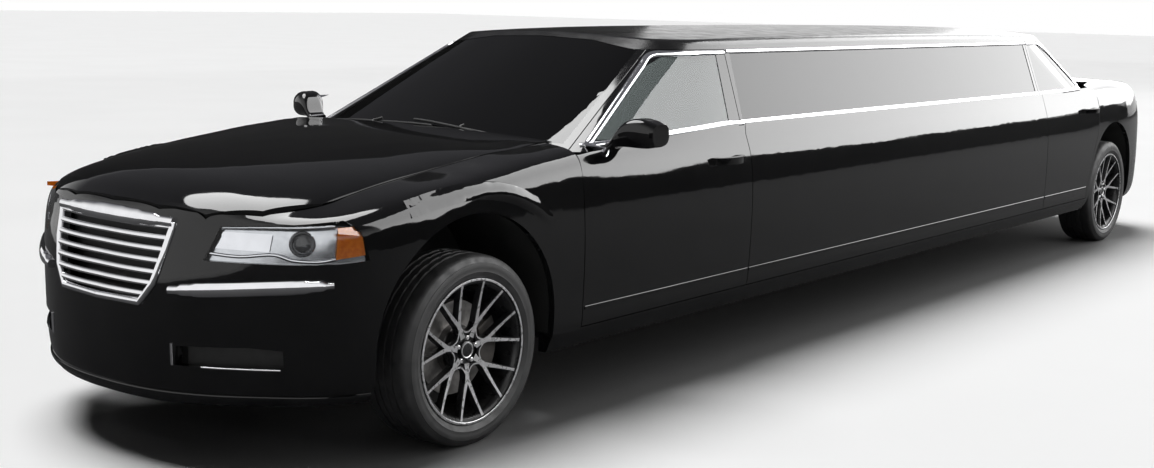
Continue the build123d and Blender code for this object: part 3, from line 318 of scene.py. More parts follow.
def strip(spots, width, height, sink=0.002, steps=8, flat=0.6):
    """The mesh of a crowned strip laid on spots, each a place and a facing.

    width may be a list of widths along it. The edges lie under the spots by sink, and flat is
    the power that shapes the crown.
    """
    verts, faces = [], []
    spots = [spot for spot in spots if spot]
    count = len(spots)
    for i, (place, facing) in enumerate(spots):
        along = (spots[min(i + 1, count - 1)][0] - spots[max(i - 1, 0)][0]).normalized()
        across = along.cross(facing).normalized()
        out = across.cross(along)
        out = out if out.dot(facing) > 0 else -out
        if isinstance(width, list):
            half = width[min(int(i * len(width) / count), len(width) - 1)] / 2
        else:
            half = width / 2
        for j in range(steps + 1):
            angle = math.pi * j / steps
            lift = height * math.sin(angle) ** flat if 0 < j < steps else -sink
            verts.append(place + across * (math.cos(angle) * half) + out * lift)
    ring = steps + 1
    for i in range(count - 1):
        for j in range(ring):
            k = (j + 1) % ring
            faces.append((i * ring + j, i * ring + k, (i + 1) * ring + k, (i + 1) * ring + j))
    faces.append(tuple(range(ring)))
    faces.append(tuple(range((count - 1) * ring, count * ring)))
    return verts, faces


def tube(points, radius, sides=12):
    """The mesh of a round bar along points."""
    verts, faces = [], []
    side = None
    for i, place in enumerate(points):
        along = (points[min(i + 1, len(points) - 1)] - points[max(i - 1, 0)]).normalized()
        if side is None:
            side = along.orthogonal().normalized()
        side = (side - along * side.dot(along)).normalized()
        other = along.cross(side)
        for j in range(sides):
            angle = 2 * math.pi * j / sides
            level = place + side * (math.cos(angle) * radius)
            verts.append(level + other * (math.sin(angle) * radius))
    for i in range(len(points) - 1):
        for j in range(sides):
            k = (j + 1) % sides
            faces.append((i * sides + j, i * sides + k, (i + 1) * sides + k, (i + 1) * sides + j))
    faces.append(tuple(range(sides)))
    faces.append(tuple(range((len(points) - 1) * sides, len(points) * sides)))
    return verts, faces


def turned(profile, sides, centre=(0, 0, 0)):
    """The mesh of a closed profile of (y, radius) points turned about an axis along Y."""
    verts, faces = [], []
    count = len(profile)
    for i in range(sides):
        angle = 2 * math.pi * i / sides
        for y, radius in profile:
            arm = Vector((radius * math.cos(angle), y, radius * math.sin(angle)))
            verts.append(Vector(centre) + arm)
    for i in range(sides):
        for j in range(count):
            k, n = (j + 1) % count, (i + 1) % sides
            faces.append((i * count + j, i * count + k, n * count + k, n * count + j))
    return verts, faces


def merged(*meshes):
    """Several (verts, faces) as one."""
    verts, faces = [], []
    for more_verts, more_faces in meshes:
        start = len(verts)
        verts += [Vector(v) for v in more_verts]
        faces += [tuple(start + i for i in face) for face in more_faces]
    return verts, faces


# ---------------------------------------------------------------- wheels and tyres
# Radii and offsets are from the wheel's middle; fork_turn and nut_turn are shares of a pitch.
node_radius = 0.116
rim_reach = 0.258
forks = 7
fork_turn = 0.25
nuts = 5
nut_turn = 0.3
tread_edge = 0.0845
tread_radius = 0.358
groove_depth = 0.007
sipe_floor = 0.3485
sipe_rise = 0.0095
floor_clearance = 0.0002


def spoke_level(radius):
    """How far out of the wheel's middle the spokes' faces stand."""
    return 0.078 + 0.030 * (radius / rim_reach) ** 2


def bar(points, widths, depth=0.026):
    """A spoke along (x, z) points: a machined face on a wider black body."""
    verts, faces, groups = [], [], []
    corners = 6
    for i, point in enumerate(points):
        along = (points[min(i + 1, len(points) - 1)] - points[max(i - 1, 0)]).normalized()
        across = Vector((-along.y, along.x))
        half, level = widths[i] / 2, spoke_level(point.length)
        bevel, foot = half + 0.0015, half + 0.004
        for reach, drop in (
            (half, 0), (-half, 0), (-bevel, 0.003), (-foot, depth), (foot, depth), (bevel, 0.003),
        ):
            spot = point + across * reach
            verts.append(Vector((spot.x, level - drop, spot.y)))
    for i in range(len(points) - 1):
        start = i * corners
        for j in range(corners):
            k = (j + 1) % corners
            faces.append((start + j, start + k, start + corners + k, start + corners + j))
            groups.append(0 if j == 0 else 1)
    for start in (0, (len(points) - 1) * corners):
        faces.append(tuple(range(start, start + corners)))
        groups.append(1)
    return verts, faces, groups


def spun(x, z, angle):
    """A point in the wheel's plane turned about the hub."""
    cos, sin = math.cos(angle), math.sin(angle)
    return Vector((x * cos - z * sin, x * sin + z * cos))


def wheel_mesh():
    """The wheel as (verts, faces, groups) about its middle: 0 machined, 1 black, 2 disc steel."""
    parts = []
    black_rim = [
        (0.1150, 0.2615), (0.1075, 0.2600), (0.1050, 0.2515), (0.0980, 0.2455), (0.0800, 0.2425),
        (0.0500, 0.2390), (-0.0200, 0.2345), (-0.0950, 0.2345), (-0.1060, 0.2460),
        (-0.1090, 0.2640), (-0.1160, 0.2640), (-0.1160, 0.2700), (-0.1100, 0.2700),
        (-0.1000, 0.2540), (-0.0400, 0.2500), (0.0400, 0.2500), (0.1000, 0.2540),
        (0.1100, 0.2640),
    ]
    lip = [
        (0.1152, 0.2612), (0.1165, 0.2625), (0.1168, 0.2655), (0.1160, 0.2700), (0.1130, 0.2708),
        (0.1110, 0.2660),
    ]
    web_widths = [0.010, 0.007, 0.006, 0.0055, 0.0055, 0.0055, 0.006, 0.007, 0.010]
    for profile, group in ((black_rim, 1), (lip, 0)):
        verts, faces = turned(profile, 96)
        parts.append((verts, faces, [group] * len(faces)))
    for k in range(forks):
        angle = 2 * math.pi * (k + fork_turn) / forks
        stem = [spun(r, 0, angle) for r in (0.050, 0.072, 0.094, node_radius + 0.006)]
        parts.append(bar(stem, [0.026, 0.020, 0.020, 0.023]))
        for side in (-1, 1):
            end = spun(rim_reach, 0, side * math.pi / forks / 2)
            start = Vector((node_radius - 0.004, side * 0.003))
            leg = [spun(*(start + (end - start) * t), angle) for t in (0, 0.2, 0.45, 0.7, 0.88, 1)]
            parts.append(bar(leg, [0.0160, 0.0150, 0.0125, 0.0105, 0.0100, 0.0120]))
        after = angle + 2 * math.pi / forks
        web = []
        for step in range(len(web_widths)):
            t = step / (len(web_widths) - 1)
            web.append(spun(0.068 + 0.030 * abs(2 * t - 1) ** 2.2, 0, angle + (after - angle) * t))
        parts.append(bar(web, web_widths, 0.02))
    hub = [
        (0.036, 0.030), (0.036, 0.078), (0.060, 0.074), (0.070, 0.068), (0.0765, 0.064),
        (0.0765, 0.060), (0.066, 0.057), (0.064, 0.034), (0.078, 0.033), (0.080, 0.030),
    ]
    cap_ring = [
        (0.0795, 0.0305), (0.0825, 0.0300), (0.0830, 0.0275), (0.0815, 0.0255), (0.0790, 0.0250),
    ]
    cap = [
        (0.0700, 0.0010), (0.0835, 0.0010), (0.0832, 0.0120), (0.0815, 0.0240), (0.0790, 0.0255),
        (0.0700, 0.0255),
    ]
    disc = [
        (-0.014, 0.090), (-0.014, 0.1755), (-0.0125, 0.176), (0.0125, 0.176), (0.014, 0.1755),
        (0.014, 0.094), (0.034, 0.086), (0.034, 0.034), (0.026, 0.034), (0.026, 0.080),
        (-0.010, 0.082),
    ]
    nut = [(0.064, 0.0004), (0.0815, 0.0004), (0.0822, 0.0060), (0.0800, 0.0088), (0.064, 0.0088)]
    for profile, group, sides in ((hub, 1, 48), (cap_ring, 0, 48), (cap, 1, 48), (disc, 2, 72)):
        verts, faces = turned(profile, sides)
        parts.append((verts, faces, [group] * len(faces)))
    for k in range(nuts):
        angle = 2 * math.pi * (k + nut_turn) / nuts
        spot = spun(0.0465, 0, angle)
        verts, faces = turned(nut, 6, (spot.x, 0, spot.y))
        parts.append((verts, faces, [0] * len(faces)))
    verts, faces, groups = [], [], []
    for part_verts, part_faces, part_groups in parts:
        start = len(verts)
        verts += part_verts
        faces += [tuple(start + i for i in face) for face in part_faces]
        groups += part_groups
    return verts, faces, groups


def tyre_mesh():
    """The tyre about its middle: grooved tread with cross sipes and ringed walls."""
    profile = [(-tread_edge, 0.3560)]
    for middle in (-0.052, -0.018, 0.018, 0.052):
        crown = tread_radius - 0.002 * abs(middle) / tread_edge
        profile += [
            (middle - 0.0060, crown), (middle - 0.0045, crown - groove_depth),
            (middle + 0.0045, crown - groove_depth), (middle + 0.0060, crown),
        ]
        if middle < 0.05:
            profile += [(middle + 0.012, crown), (middle + 0.022, crown)]
    profile += [
        (tread_edge, 0.3560), (0.0960, 0.3535), (0.1045, 0.3500), (0.1110, 0.3440),
        (0.1150, 0.3340), (0.1190, 0.3300), (0.1195, 0.3285), (0.1215, 0.3270), (0.1235, 0.3180),
        (0.1235, 0.3080), (0.1218, 0.2960), (0.1222, 0.2945), (0.1200, 0.2900), (0.1160, 0.2800),
        (0.1130, 0.2745), (0.1095, 0.2722), (0.1010, 0.2620), (-0.1010, 0.2620),
        (-0.1095, 0.2722), (-0.1160, 0.2800), (-0.1218, 0.2960), (-0.1235, 0.3130),
        (-0.1190, 0.3300), (-0.1110, 0.3440), (-0.0980, 0.3525),
    ]
    sides = 180
    verts, faces = turned(profile, sides)
    for i in range(sides):
        for j, (y, radius) in enumerate(profile):
            if radius > sipe_floor and (i + int(abs(y) * 90)) % 5 == 0:
                spot = verts[i * len(profile) + j]
                cut = 0.004 * (radius - sipe_floor) / sipe_rise
                share = 1 - cut / tread_radius
                verts[i * len(profile) + j] = Vector((spot.x * share, spot.y, spot.z * share))
    return verts, faces


def placed(verts, node, hand):
    """Points about a left wheel's middle where a wheel has them, turned about on the right."""
    middle = centre_of(node)
    half_track = (abs(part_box(node)[0][1]) + abs(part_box(node)[1][1])) / 2
    return [(v.x * hand + middle.x, hand * (v.y + half_track), v.z + middle.z) for v in verts]


wheel_verts, wheel_faces, wheel_groups = wheel_mesh()
tyre_verts, tyre_faces = tyre_mesh()
for end in ("front", "rear"):
    for side, hand in (("left", 1), ("right", -1)):
        node = end + "_wheel_" + side
        rim = piece(
            end + "_rim_" + side, placed(wheel_verts, node, hand), wheel_faces,
            [machined, wheel_black, disc_steel], node, 32, wheel_groups,
        )
        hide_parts(node)
        lifted = [(x, y, max(z, floor_clearance)) for x, y, z in placed(tyre_verts, node, hand)]
        skin = piece(end + "_tread_" + side, lifted, tyre_faces, rubber, node, 30)
        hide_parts(end + "_tyre_" + side)

# ---------------------------------------------------------------- glasshouse trim
body_skin = surface(
    "front_wings", "front_door_left", "centre_sides", "rear_door_left", "rear_quarters",
    "windscreen_frame", "roof", "front_door_glass_left", "rear_door_glass_left", "centre_windows",
)


def along_side(points, count, skin=None):
    """Spots on the left side under a smooth line of (x, z) points."""
    line = smooth_line(points, count)
    return [shoot(skin or body_skin, (p[0], beside_car, p[1]), (0, -1, 0)) for p in line]


def hem(name, points, count, width, height, finish, body):
    """A strip on the left side and its twin on the right."""
    skin = surface(body) if body != "body" else None
    pair(name, *strip(along_side(points, count, skin), width, height), finish, body)


def belt_z(ahead):
    """The height of the front door's belt, by its distance from the front axle."""
    return 1.034 + 0.056 * min(max(-0.70 - ahead, 0), 1) ** 0.75


belt_width = 0.024
rim_height = 0.007
front_belt = [
    (front + x, belt_z(x)) for x in (-0.79, -0.87, -0.98, -1.15, -1.35, -1.55, -1.70, -1.815)
]
centre_belt = [
    (front - 1.835, 1.090), (front - 2.6, 1.091), (rear + 2.0, 1.091), (rear + 1.256, 1.091),
]
rear_belt = [
    (rear + 1.236, 1.091), (rear + 0.95, 1.0925), (rear + 0.70, 1.096), (rear + 0.52, 1.102),
    (rear + 0.42, 1.109),
]
hem("front_belt", front_belt, 40, belt_width, rim_height, chrome, "front_door_left")
hem("centre_belt", centre_belt, 40, belt_width, rim_height, chrome, "body")
hem("rear_belt", rear_belt, 24, belt_width, rim_height, chrome, "rear_door_left")
front_door = surface("front_door_left")


def frame_top(x):
    """The upper edge of the front door's window frame at a place along the car."""
    z = 1.420
    while z > 1.0 and not front_door.ray_cast(Vector((x, beside_car, z)), Vector((0, -1, 0)))[0]:
        z -= 0.002
    return z


front_rail = []
for ahead in (-0.760, -0.860, -0.980, -1.110, -1.240, -1.360, -1.470, -1.580, -1.700, -1.903):
    x = front + ahead
    near = (-0.02, -0.01, 0, 0.01, 0.02) if ahead > -1.85 else (0,)
    level = sum(frame_top(x + step) for step in near) / len(near)
    front_rail.append((x, level - 0.019 + 0.007 * min((-0.76 - ahead) / 0.5, 1)))
front_rail_widths = [0.032, 0.032, 0.031, 0.028, 0.024, 0.020, 0.019]
centre_rail = [
    (front - 1.925, 1.403), (front - 3.0, 1.403), (rear + 2.0, 1.403), (rear + 1.160, 1.403),
]
rear_rail = [
    (rear + 1.135, 1.402), (rear + 1.00, 1.401), (rear + 0.92, 1.397), (rear + 0.80, 1.357),
    (rear + 0.69, 1.291), (rear + 0.58, 1.212), (rear + 0.47, 1.135), (rear + 0.425, 1.112),
]
hem("front_rail", front_rail, 64, front_rail_widths, 0.008, chrome, "front_door_left")
hem("centre_rail", centre_rail, 40, 0.019, rim_height, chrome, "body")
hem("rear_rail", rear_rail, 50, 0.020, rim_height, chrome, "rear_door_left")

# ---------------------------------------------------------------- front end
nose = surface("front_bumper", "front_wings", "headlamps", "grille", "hood")


def on_nose(points, count):
    """Spots on the nose under a smooth line of (x, y, z) points, looked at square to the corner."""
    spots = []
    for p in smooth_line(points, count):
        away = Vector((1.0, 2.2 * max(p.y, 0) ** 2, 0)).normalized()
        spots.append(shoot(nose, p + away * 0.5, -away))
    return spots


def bumper_line(z_inner, z_outer, y_inner, y_outer):
    """Points round the front corner of the bumper between two distances from the middle."""
    plan = [
        (0.950, 0.0), (0.928, 0.260), (0.858, 0.466), (0.748, 0.645), (0.600, 0.816),
        (0.420, 0.905),
    ]
    steps = 12
    line = []
    for k in range(steps + 1):
        y = y_inner + (y_outer - y_inner) * k / steps
        for (x0, y0), (x1, y1) in zip(plan, plan[1:]):
            if y <= y1:
                x = x0 + (x1 - x0) * (y - y0) / (y1 - y0)
                break
        line.append((front + x, y, z_inner + (z_outer - z_inner) * k / steps))
    return line


def from_ahead(y, z):
    """The spot that a line from in front of the nose meets."""
    return shoot(nose, (before_nose, y, z), (-1, 0, 0))


taper = [0.030, 0.044, 0.049] + [0.050] * 7 + [0.048, 0.042, 0.026]
corner = on_nose(bumper_line(0.630, 0.667, 0.352, 0.822), 48)
pair("bumper_strip", *strip(corner, taper, 0.018), chrome)

grille_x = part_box("grille")[1][0]
blade_low, blade_high, blade_steps = 0.606, 0.838, 6
blades = []
for k in range(blade_steps + 1):
    z = blade_low + k * (blade_high - blade_low) / blade_steps
    half = min(0.20 + (z - 0.56) * 0.9, 0.265 + (z - 0.6) * 0.24)
    spots = [from_ahead(half * (i / 12 - 1), z) for i in range(25)]
    spots = [(s[0] + Vector((0.001, 0, 0)), Vector((0.94, 0, 0.34))) for s in spots if s]
    blades.append(strip(spots, 0.021, 0.008, 0.012))
piece("grille_blades", *merged(*blades), chrome)

outline = [
    (0, 0.560), (0.236, 0.568), (0.292, 0.640), (0.322, 0.740), (0.340, 0.852), (0.250, 0.866),
    (0, 0.872),
]
ring = outline + [(-y, z) for y, z in outline[-2:0:-1]]
middle_z = 0.715
closed = []
for y, z in ring:
    inward = Vector((0, -y, middle_z - z)).normalized() * 0.013
    closed.append(from_ahead(y + inward.y, z + inward.z))
closed = [s for s in closed if s]
closed.append(closed[0])
dense = []
for (p, n), (q, m) in zip(closed, closed[1:]):
    dense += [(p + (q - p) * t, (n + (m - n) * t).normalized()) for t in (0, 0.25, 0.5, 0.75)]
dense.append(dense[0])
piece("grille_rim", *strip(dense, 0.026, 0.012), chrome)

brow = []
for i in range(33):
    across = i / 16 - 1
    brow.append(from_ahead(0.330 * across, 0.853 + 0.006 * math.cos(math.pi * across / 2)))
brow_widths = [0.036, 0.048, 0.056, 0.060, 0.060, 0.056, 0.048, 0.036]
piece("grille_brow", *strip(brow, brow_widths, 0.018), chrome)
backing = []
for y, z in ring:
    x = grille_x - 0.085 - 0.35 * max(abs(y) - 0.1, 0) ** 1.5
    backing.append((x, y * 0.97, middle_z + (z - middle_z) * 0.97))
piece("grille_backing", backing, [tuple(range(len(backing)))], trim)

# The headlamps: the lens is the node's outer skin, and the lamp's parts lie behind it.
lamp_mesh = nodes["headlamps"].data
outward = Vector((0.66, 0.75, 0.1)).normalized()
keep = [
    p for p in lamp_mesh.polygons
    if p.center.y > 0 and p.normal.dot(outward) > 0.4 and abs(p.normal.z) < 0.8
]
used = sorted({i for p in keep for i in p.vertices})
index = {old: new for new, old in enumerate(used)}
skin_verts = [lamp_mesh.vertices[i].co.copy() for i in used]
skin_faces = [tuple(index[i] for i in p.vertices) for p in keep]
facing = [Vector() for _ in used]
for p in keep:
    for i in p.vertices:
        facing[index[i]] += p.normal * p.area
lenses = pair("headlamp_lens", skin_verts, skin_faces, lens)
for obj in lenses:
    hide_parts("headlamps")
bowl = [v - n.normalized() * 0.021 for v, n in zip(skin_verts, facing)]
pair("headlamp_bowl", bowl, skin_faces, silver)
lamp_skin = BVHTree.FromPolygons(skin_verts, skin_faces)


def in_lamp(y, z, depth):
    """A spot behind the lens by a depth, and the way that the lens faces there."""
    away = Vector((1.0, 2.6 * (y - 0.2) ** 1.2, 0)).normalized()
    base = Vector((front + 0.93 - 0.75 * (y - 0.1) ** 2, y, z))
    found = shoot(lamp_skin, base + away * 0.4, -away)
    return (found[0] - found[1] * depth, found[1]) if found else None


def patch(corners, depth, rows=6, columns=10, bulge=0.0):
    """A panel behind the lens between four (y, z) corners, in order round it."""
    verts, faces = [], []
    for i in range(rows + 1):
        for j in range(columns + 1):
            u, v = j / columns, i / rows
            low = Vector(corners[0]).lerp(Vector(corners[1]), u)
            high = Vector(corners[3]).lerp(Vector(corners[2]), u)
            p = low.lerp(high, v)
            lift = bulge * (1 - (2 * u - 1) ** 2) * (1 - (2 * v - 1) ** 2)
            found = in_lamp(p.x, p.y, depth - lift)
            verts.append(found[0] if found else Vector((front + 0.6, p.x, p.y)))
    for i in range(rows):
        for j in range(columns):
            k = i * (columns + 1) + j
            faces.append((k, k + 1, k + columns + 2, k + columns + 1))
    return verts, faces


marker = [(0.800, 0.752), (0.868, 0.764), (0.858, 0.862), (0.806, 0.862)]
reflector = [(0.475, 0.782), (0.640, 0.776), (0.648, 0.838), (0.480, 0.838)]
pair("headlamp_marker", *patch(marker, 0.004, bulge=0.002), amber)
pair("headlamp_reflector", *patch(reflector, 0.016, bulge=-0.004), chrome)
lower = [(0.462, 0.765), (0.56, 0.757), (0.65, 0.766), (0.70, 0.748), (0.76, 0.744), (0.80, 0.752)]
sweep = [in_lamp(y, z, 0.012) for y, z in smooth_line(lower, 40)]
pair("headlamp_sweep", *strip(sweep, 0.012, 0.006), chrome)
upper = [(0.462, 0.846), (0.60, 0.856), (0.72, 0.862), (0.80, 0.868)]
edge = [in_lamp(y, z, 0.010) for y, z in smooth_line(upper, 40)]
pair("headlamp_upper_rim", *strip(edge, 0.010, 0.005), silver)
seat, look = in_lamp(0.722, 0.806, 0.015)
side = look.cross(Vector((0, 0, 1))).normalized()
rise = side.cross(look)
barrel = [(0.044, 0.0), (0.044, 0.006), (0.041, 0.009), (0.038, 0.006), (0.036, -0.004)]
dome = [(0.0005, 0.008), (0.012, 0.0075), (0.022, 0.005), (0.030, 0.001), (0.037, -0.005)]


def round_about(profile, sides=40):
    """A profile of (radius, height) turned about the projector's own axis."""
    verts, faces = [], []
    for i in range(sides):
        a = 2 * math.pi * i / sides
        for radius, height in profile:
            spot = seat + look * height + side * (radius * math.cos(a))
            verts.append(spot + rise * (radius * math.sin(a)))
    count = len(profile)
    for i in range(sides):
        for j in range(count - 1):
            n = (i + 1) % sides
            faces.append((i * count + j, i * count + j + 1, n * count + j + 1, n * count + j))
    return verts, faces


pair("headlamp_projector_ring", *round_about(barrel), chrome)
pair("headlamp_projector", *round_about(dome), ball)

# The lower openings, closed at the back, with a bright piece at each end.
pocket = [from_ahead(y, 0.34) for y in (0.37, 0.5, 0.62, 0.70)]
wall = [(s[0].x - 0.05, s[0].y) for s in pocket if s]
verts = [(x, y, z) for x, y in wall for z in (0.365, 0.455)]
faces = [(2 * k, 2 * k + 1, 2 * k + 3, 2 * k + 2) for k in range(len(wall) - 1)]
pair("bumper_pocket", verts, faces, trim)
inner = [from_ahead(0.358, z) for z in (0.372, 0.40, 0.425, 0.447)]
pair("bumper_accent", *strip(inner, 0.010, 0.006), chrome)
vane = [from_ahead(y, 0.372) for y in (0.46, 0.52, 0.60, 0.66, 0.69)]
pair("bumper_vane", *strip(vane, 0.008, 0.004), chrome)
lip = on_nose(bumper_line(0.262, 0.268, 0.0, 0.880), 60)
pair("bumper_lip", *strip(lip, 0.026, 0.008), paint)


# Raised lines of the bodywork: the flare over the front wheel and the moulding along the sills.
def swell(spots, width, height):
    """A strip that rises from the panel without an edge, fading at both ends."""
    steps = 12
    verts, faces = strip(spots, width, height, 0.0006, steps, 2.0)
    ring = steps + 1
    rings = len(verts) // ring
    for i in range(rings):
        fade = min(i, rings - 1 - i) / (rings * 0.45)
        if fade >= 1:
            continue
        fade = fade * fade * (3 - 2 * fade)
        first, last = verts[i * ring], verts[i * ring + steps]
        for j in range(ring):
            ground = first.lerp(last, j / steps)
            verts[i * ring + j] = ground + (verts[i * ring + j] - ground) * max(fade, 0.02)
    return verts, faces


flare = [
    (0.32, 0.905), (0.18, 0.930), (0.02, 0.944), (-0.14, 0.926), (-0.27, 0.880), (-0.37, 0.815),
    (-0.44, 0.740),
]
flare_spots = along_side([(front + x, z) for x, z in flare], 60)
pair("front_flare", *swell(flare_spots, 0.070, 0.011), paint)
sill_z = 0.425
for name, body, start, end in (
    ("front_sill_line", "front_door_left", front - 0.612, front - 1.803),
    ("centre_sill_line", "body", front - 1.817, rear + 1.250),
    ("rear_sill_line", "rear_door_left", rear + 1.234, rear + 0.50),
):
    spots = along_side([(start, sill_z), ((start + end) / 2, sill_z), (end, sill_z)], 30)
    pair(name, *strip(spots, 0.016, 0.0035), paint, body)

# ---------------------------------------------------------------- mirrors, wipers and tail
mirror_skin = surface("mirror_left")
rows, columns = 6, 10
grid = []
for i in range(rows + 1):
    for j in range(columns + 1):
        y, z = 0.940 + 0.118 * j / columns, 1.066 + 0.080 * i / rows
        found = shoot(mirror_skin, (front - 1.3, y, z), (1, 0, 0))
        grid.append(found[0] - Vector((0.0012, 0, 0)) if found else Vector((front - 0.97, y, z)))
faces = []
for i in range(rows):
    for j in range(columns):
        k = i * (columns + 1) + j
        faces.append((k, k + 1, k + columns + 2, k + columns + 1))
pair("mirror_glass", grid, faces, chrome, "front_door_left")

screen = surface("windscreen", "windscreen_frame", "hood")


def on_screen(points, count, lift):
    """Points over the windscreen by a small height, under a smooth line of (x, y) points."""
    line = []
    for p in smooth_line(points, count):
        found = shoot(screen, (p.x, p.y, above_car), (0, 0, -1))
        line.append((found[0] + found[1] * lift, found[1]))
    return line


for name, foot, tip, end in (
    ("wiper_driver", (front - 0.668, 0.42), (front - 0.735, -0.12), (front - 0.700, 0.52)),
    ("wiper_passenger", (front - 0.655, -0.14), (front - 0.745, -0.62), (front - 0.700, 0.02)),
):
    middle = ((end[0] + tip[0]) / 2, (end[1] + tip[1]) / 2)
    blade = on_screen([end, (middle[0] + 0.01, middle[1]), tip], 24, 0.010)
    elbow = ((foot[0] + tip[0]) / 2 + 0.008, foot[1] * 0.6 + tip[1] * 0.4)
    arm = on_screen([foot, elbow, middle], 20, 0.022)
    shape = merged(tube([p for p, n in blade], 0.0055, 8), tube([p for p, n in arm], 0.006, 8))
    piece(name, *shape, trim)

tail = surface("boot_lid", "rear_quarters", "rear_bumper", "tail_lamps")


def on_tail(points, count):
    """Spots on the tail behind a smooth line of (y, z) points."""
    line = smooth_line(points, count)
    return [shoot(tail, (behind_tail, p.x, p.y), (1, 0, 0)) for p in line]


boot_line = on_tail([(-0.54, 0.955), (0, 0.968), (0.54, 0.955)], 40)
piece("boot_strip", *strip(boot_line, 0.018, 0.006), chrome, "boot_lid")
bumper_rear = on_tail([(0.30, 0.560), (0.52, 0.562), (0.72, 0.572), (0.80, 0.580)], 30)
pair("bumper_rear_strip", *strip(bumper_rear, 0.026, 0.010), chrome)
for level in (0.800, 0.962):
    rim = on_tail([(0.622, level), (0.70, level), (0.80, level), (0.868, level)], 24)
    pair("tail_lamp_rim_%d" % (level * 1000), *strip(rim, 0.008, 0.004), chrome)
upright = on_tail([(0.632, 0.815), (0.632, 0.88), (0.632, 0.95)], 16)
pair("tail_lamp_bar", *strip(upright, 0.010, 0.004), chrome)
reverse = on_tail([(0.66, 0.835), (0.75, 0.835), (0.84, 0.838)], 20)
pair("tail_reverse_lamp", *strip(reverse, 0.024, 0.003), lens)
pipe_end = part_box("exhaust")[0][0]
tip = [(0.0, 0.036), (0.0, 0.041), (0.002, 0.042), (0.085, 0.042), (0.085, 0.036)]
for name, side in (("exhaust_tip_left", 1), ("exhaust_tip_right", -1)):
    verts, faces = turned(tip, 48)
    verts = [(pipe_end + 0.001 + v.y, side * 0.505 + v.x, 0.248 + v.z) for v in verts]
    piece(name, verts, faces, chrome)


# ---------------------------------------------------------------- cabin
def cushion(name, low, high, node, lean=0.0, seams=0, along=1):
    """A crowned cushion between two corners, with seams across it, leant back about its foot."""
    crown, seam_depth, count = 0.018, 0.010, 22
    low, high = Vector(low), Vector(high)
    middle, half = (low + high) / 2, (high - low) / 2
    radius = min(0.045, min(half) * 0.95)
    work = bmesh.new()
    for axis in range(3):
        a, b = [i for i in range(3) if i != axis]
        for sign in (-1, 1):
            ring = []
            for i in range(count + 1):
                for j in range(count + 1):
                    q = Vector()
                    q[axis] = sign
                    q[a] = 2 * i / count - 1
                    q[b] = 2 * j / count - 1
                    p = Vector(q[k] * half[k] for k in range(3))
                    limits = [half[k] - radius for k in range(3)]
                    core = Vector(max(-limits[k], min(limits[k], p[k])) for k in range(3))
                    if (p - core).length > 1e-9:
                        p = core + (p - core).normalized() * radius
                    place = p[along]
                    round_off = (1 - q[a] ** 4) * (1 - q[b] ** 4)
                    p[axis] += sign * (crown * round_off - crown)
                    if seams and axis == 2 and sign > 0:
                        wave = abs(math.sin(math.pi * (place / half[along] + 1) / 2 * seams))
                        p[axis] -= seam_depth * (1 - min(wave * 4, 1)) * round_off ** 0.3
                    ring.append(work.verts.new(p))
            for i in range(count):
                for j in range(count):
                    k = i * (count + 1) + j
                    work.faces.new((ring[k], ring[k + 1], ring[k + count + 2], ring[k + count + 1]))
    bmesh.ops.remove_doubles(work, verts=work.verts, dist=1e-5)
    foot = Vector((middle.x, middle.y, low.z))
    swing = Matrix.Rotation(lean, 4, "Y" if along == 1 else "X")
    verts = [foot + swing @ (middle + v.co - foot) for v in work.verts]
    work.verts.index_update()
    faces = [tuple(v.index for v in f.verts) for f in work.faces]
    work.free()
    obj = piece(name, verts, faces, leather, sharp=60)
    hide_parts(node)


seat_low, seat_high = (Vector(corner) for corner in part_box("front_seats"))
x, z = seat_low.x, seat_low.z
for hand, near, far in (("left", 0.150, 0.650), ("right", -0.650, -0.150)):
    middle = (near + far) / 2
    cushion(
        "seat_base_" + hand, (x + 0.19, near, z + 0.06), (seat_high.x - 0.005, far, z + 0.235),
        "front_seats", seams=3,
    )
    cushion(
        "seat_back_" + hand, (x + 0.075, near + 0.015, z + 0.20),
        (x + 0.20, far - 0.015, z + 0.70), "front_seats", -0.12,
    )
    cushion(
        "seat_headrest_" + hand, (x + 0.020, middle - 0.13, z + 0.66),
        (x + 0.115, middle + 0.13, seat_high.z - 0.006), "front_seats", -0.05,
    )
margin = 0.005
low, high = (Vector(corner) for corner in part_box("rear_bench"))
cushion(
    "bench_base", (low.x + 0.20, low.y + margin, low.z + 0.04),
    (high.x - margin, high.y - margin, low.z + 0.235), "rear_bench", seams=6,
)
cushion(
    "bench_back", (low.x + 0.085, low.y + margin, low.z + 0.21),
    (low.x + 0.24, high.y - margin, high.z - 0.01), "rear_bench", -0.10,
)
low, high = (Vector(corner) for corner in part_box("side_bench"))
cushion(
    "side_base", (low.x + margin, low.y + 0.14, low.z + 0.04),
    (high.x - margin, high.y - margin, low.z + 0.235), "side_bench", seams=12, along=0,
)
cushion(
    "side_back", (low.x + margin, low.y + margin, low.z + 0.21),
    (high.x - margin, low.y + 0.15, high.z - margin), "side_bench",
)


# ---------------------------------------------------------------- studio
def lamp_box(name, spot, aim, size, power):
    """A soft box at a spot, facing a point, for reflections only."""
    lamp = bpy.data.lights.new(name, "AREA")
    lamp.shape = "RECTANGLE"
    lamp.size, lamp.size_y = size
    lamp.energy = power
    holder = bpy.data.objects.new(name, lamp)
    bpy.context.collection.objects.link(holder)
    holder.location = spot
    holder.rotation_euler = (Vector(aim) - Vector(spot)).to_track_quat("-Z", "Y").to_euler()
    holder.visible_diffuse = False
    holder.visible_camera = False


def card(name, verts, faces, finish):
    """A dark card that only reflections see."""
    mesh = bpy.data.meshes.new(name)
    mesh.from_pydata(verts, [], faces)
    mesh.materials.append(finish)
    obj = bpy.data.objects.new(name, mesh)
    bpy.context.collection.objects.link(obj)
    obj.visible_camera = obj.visible_diffuse = obj.visible_shadow = obj.visible_transmission = False


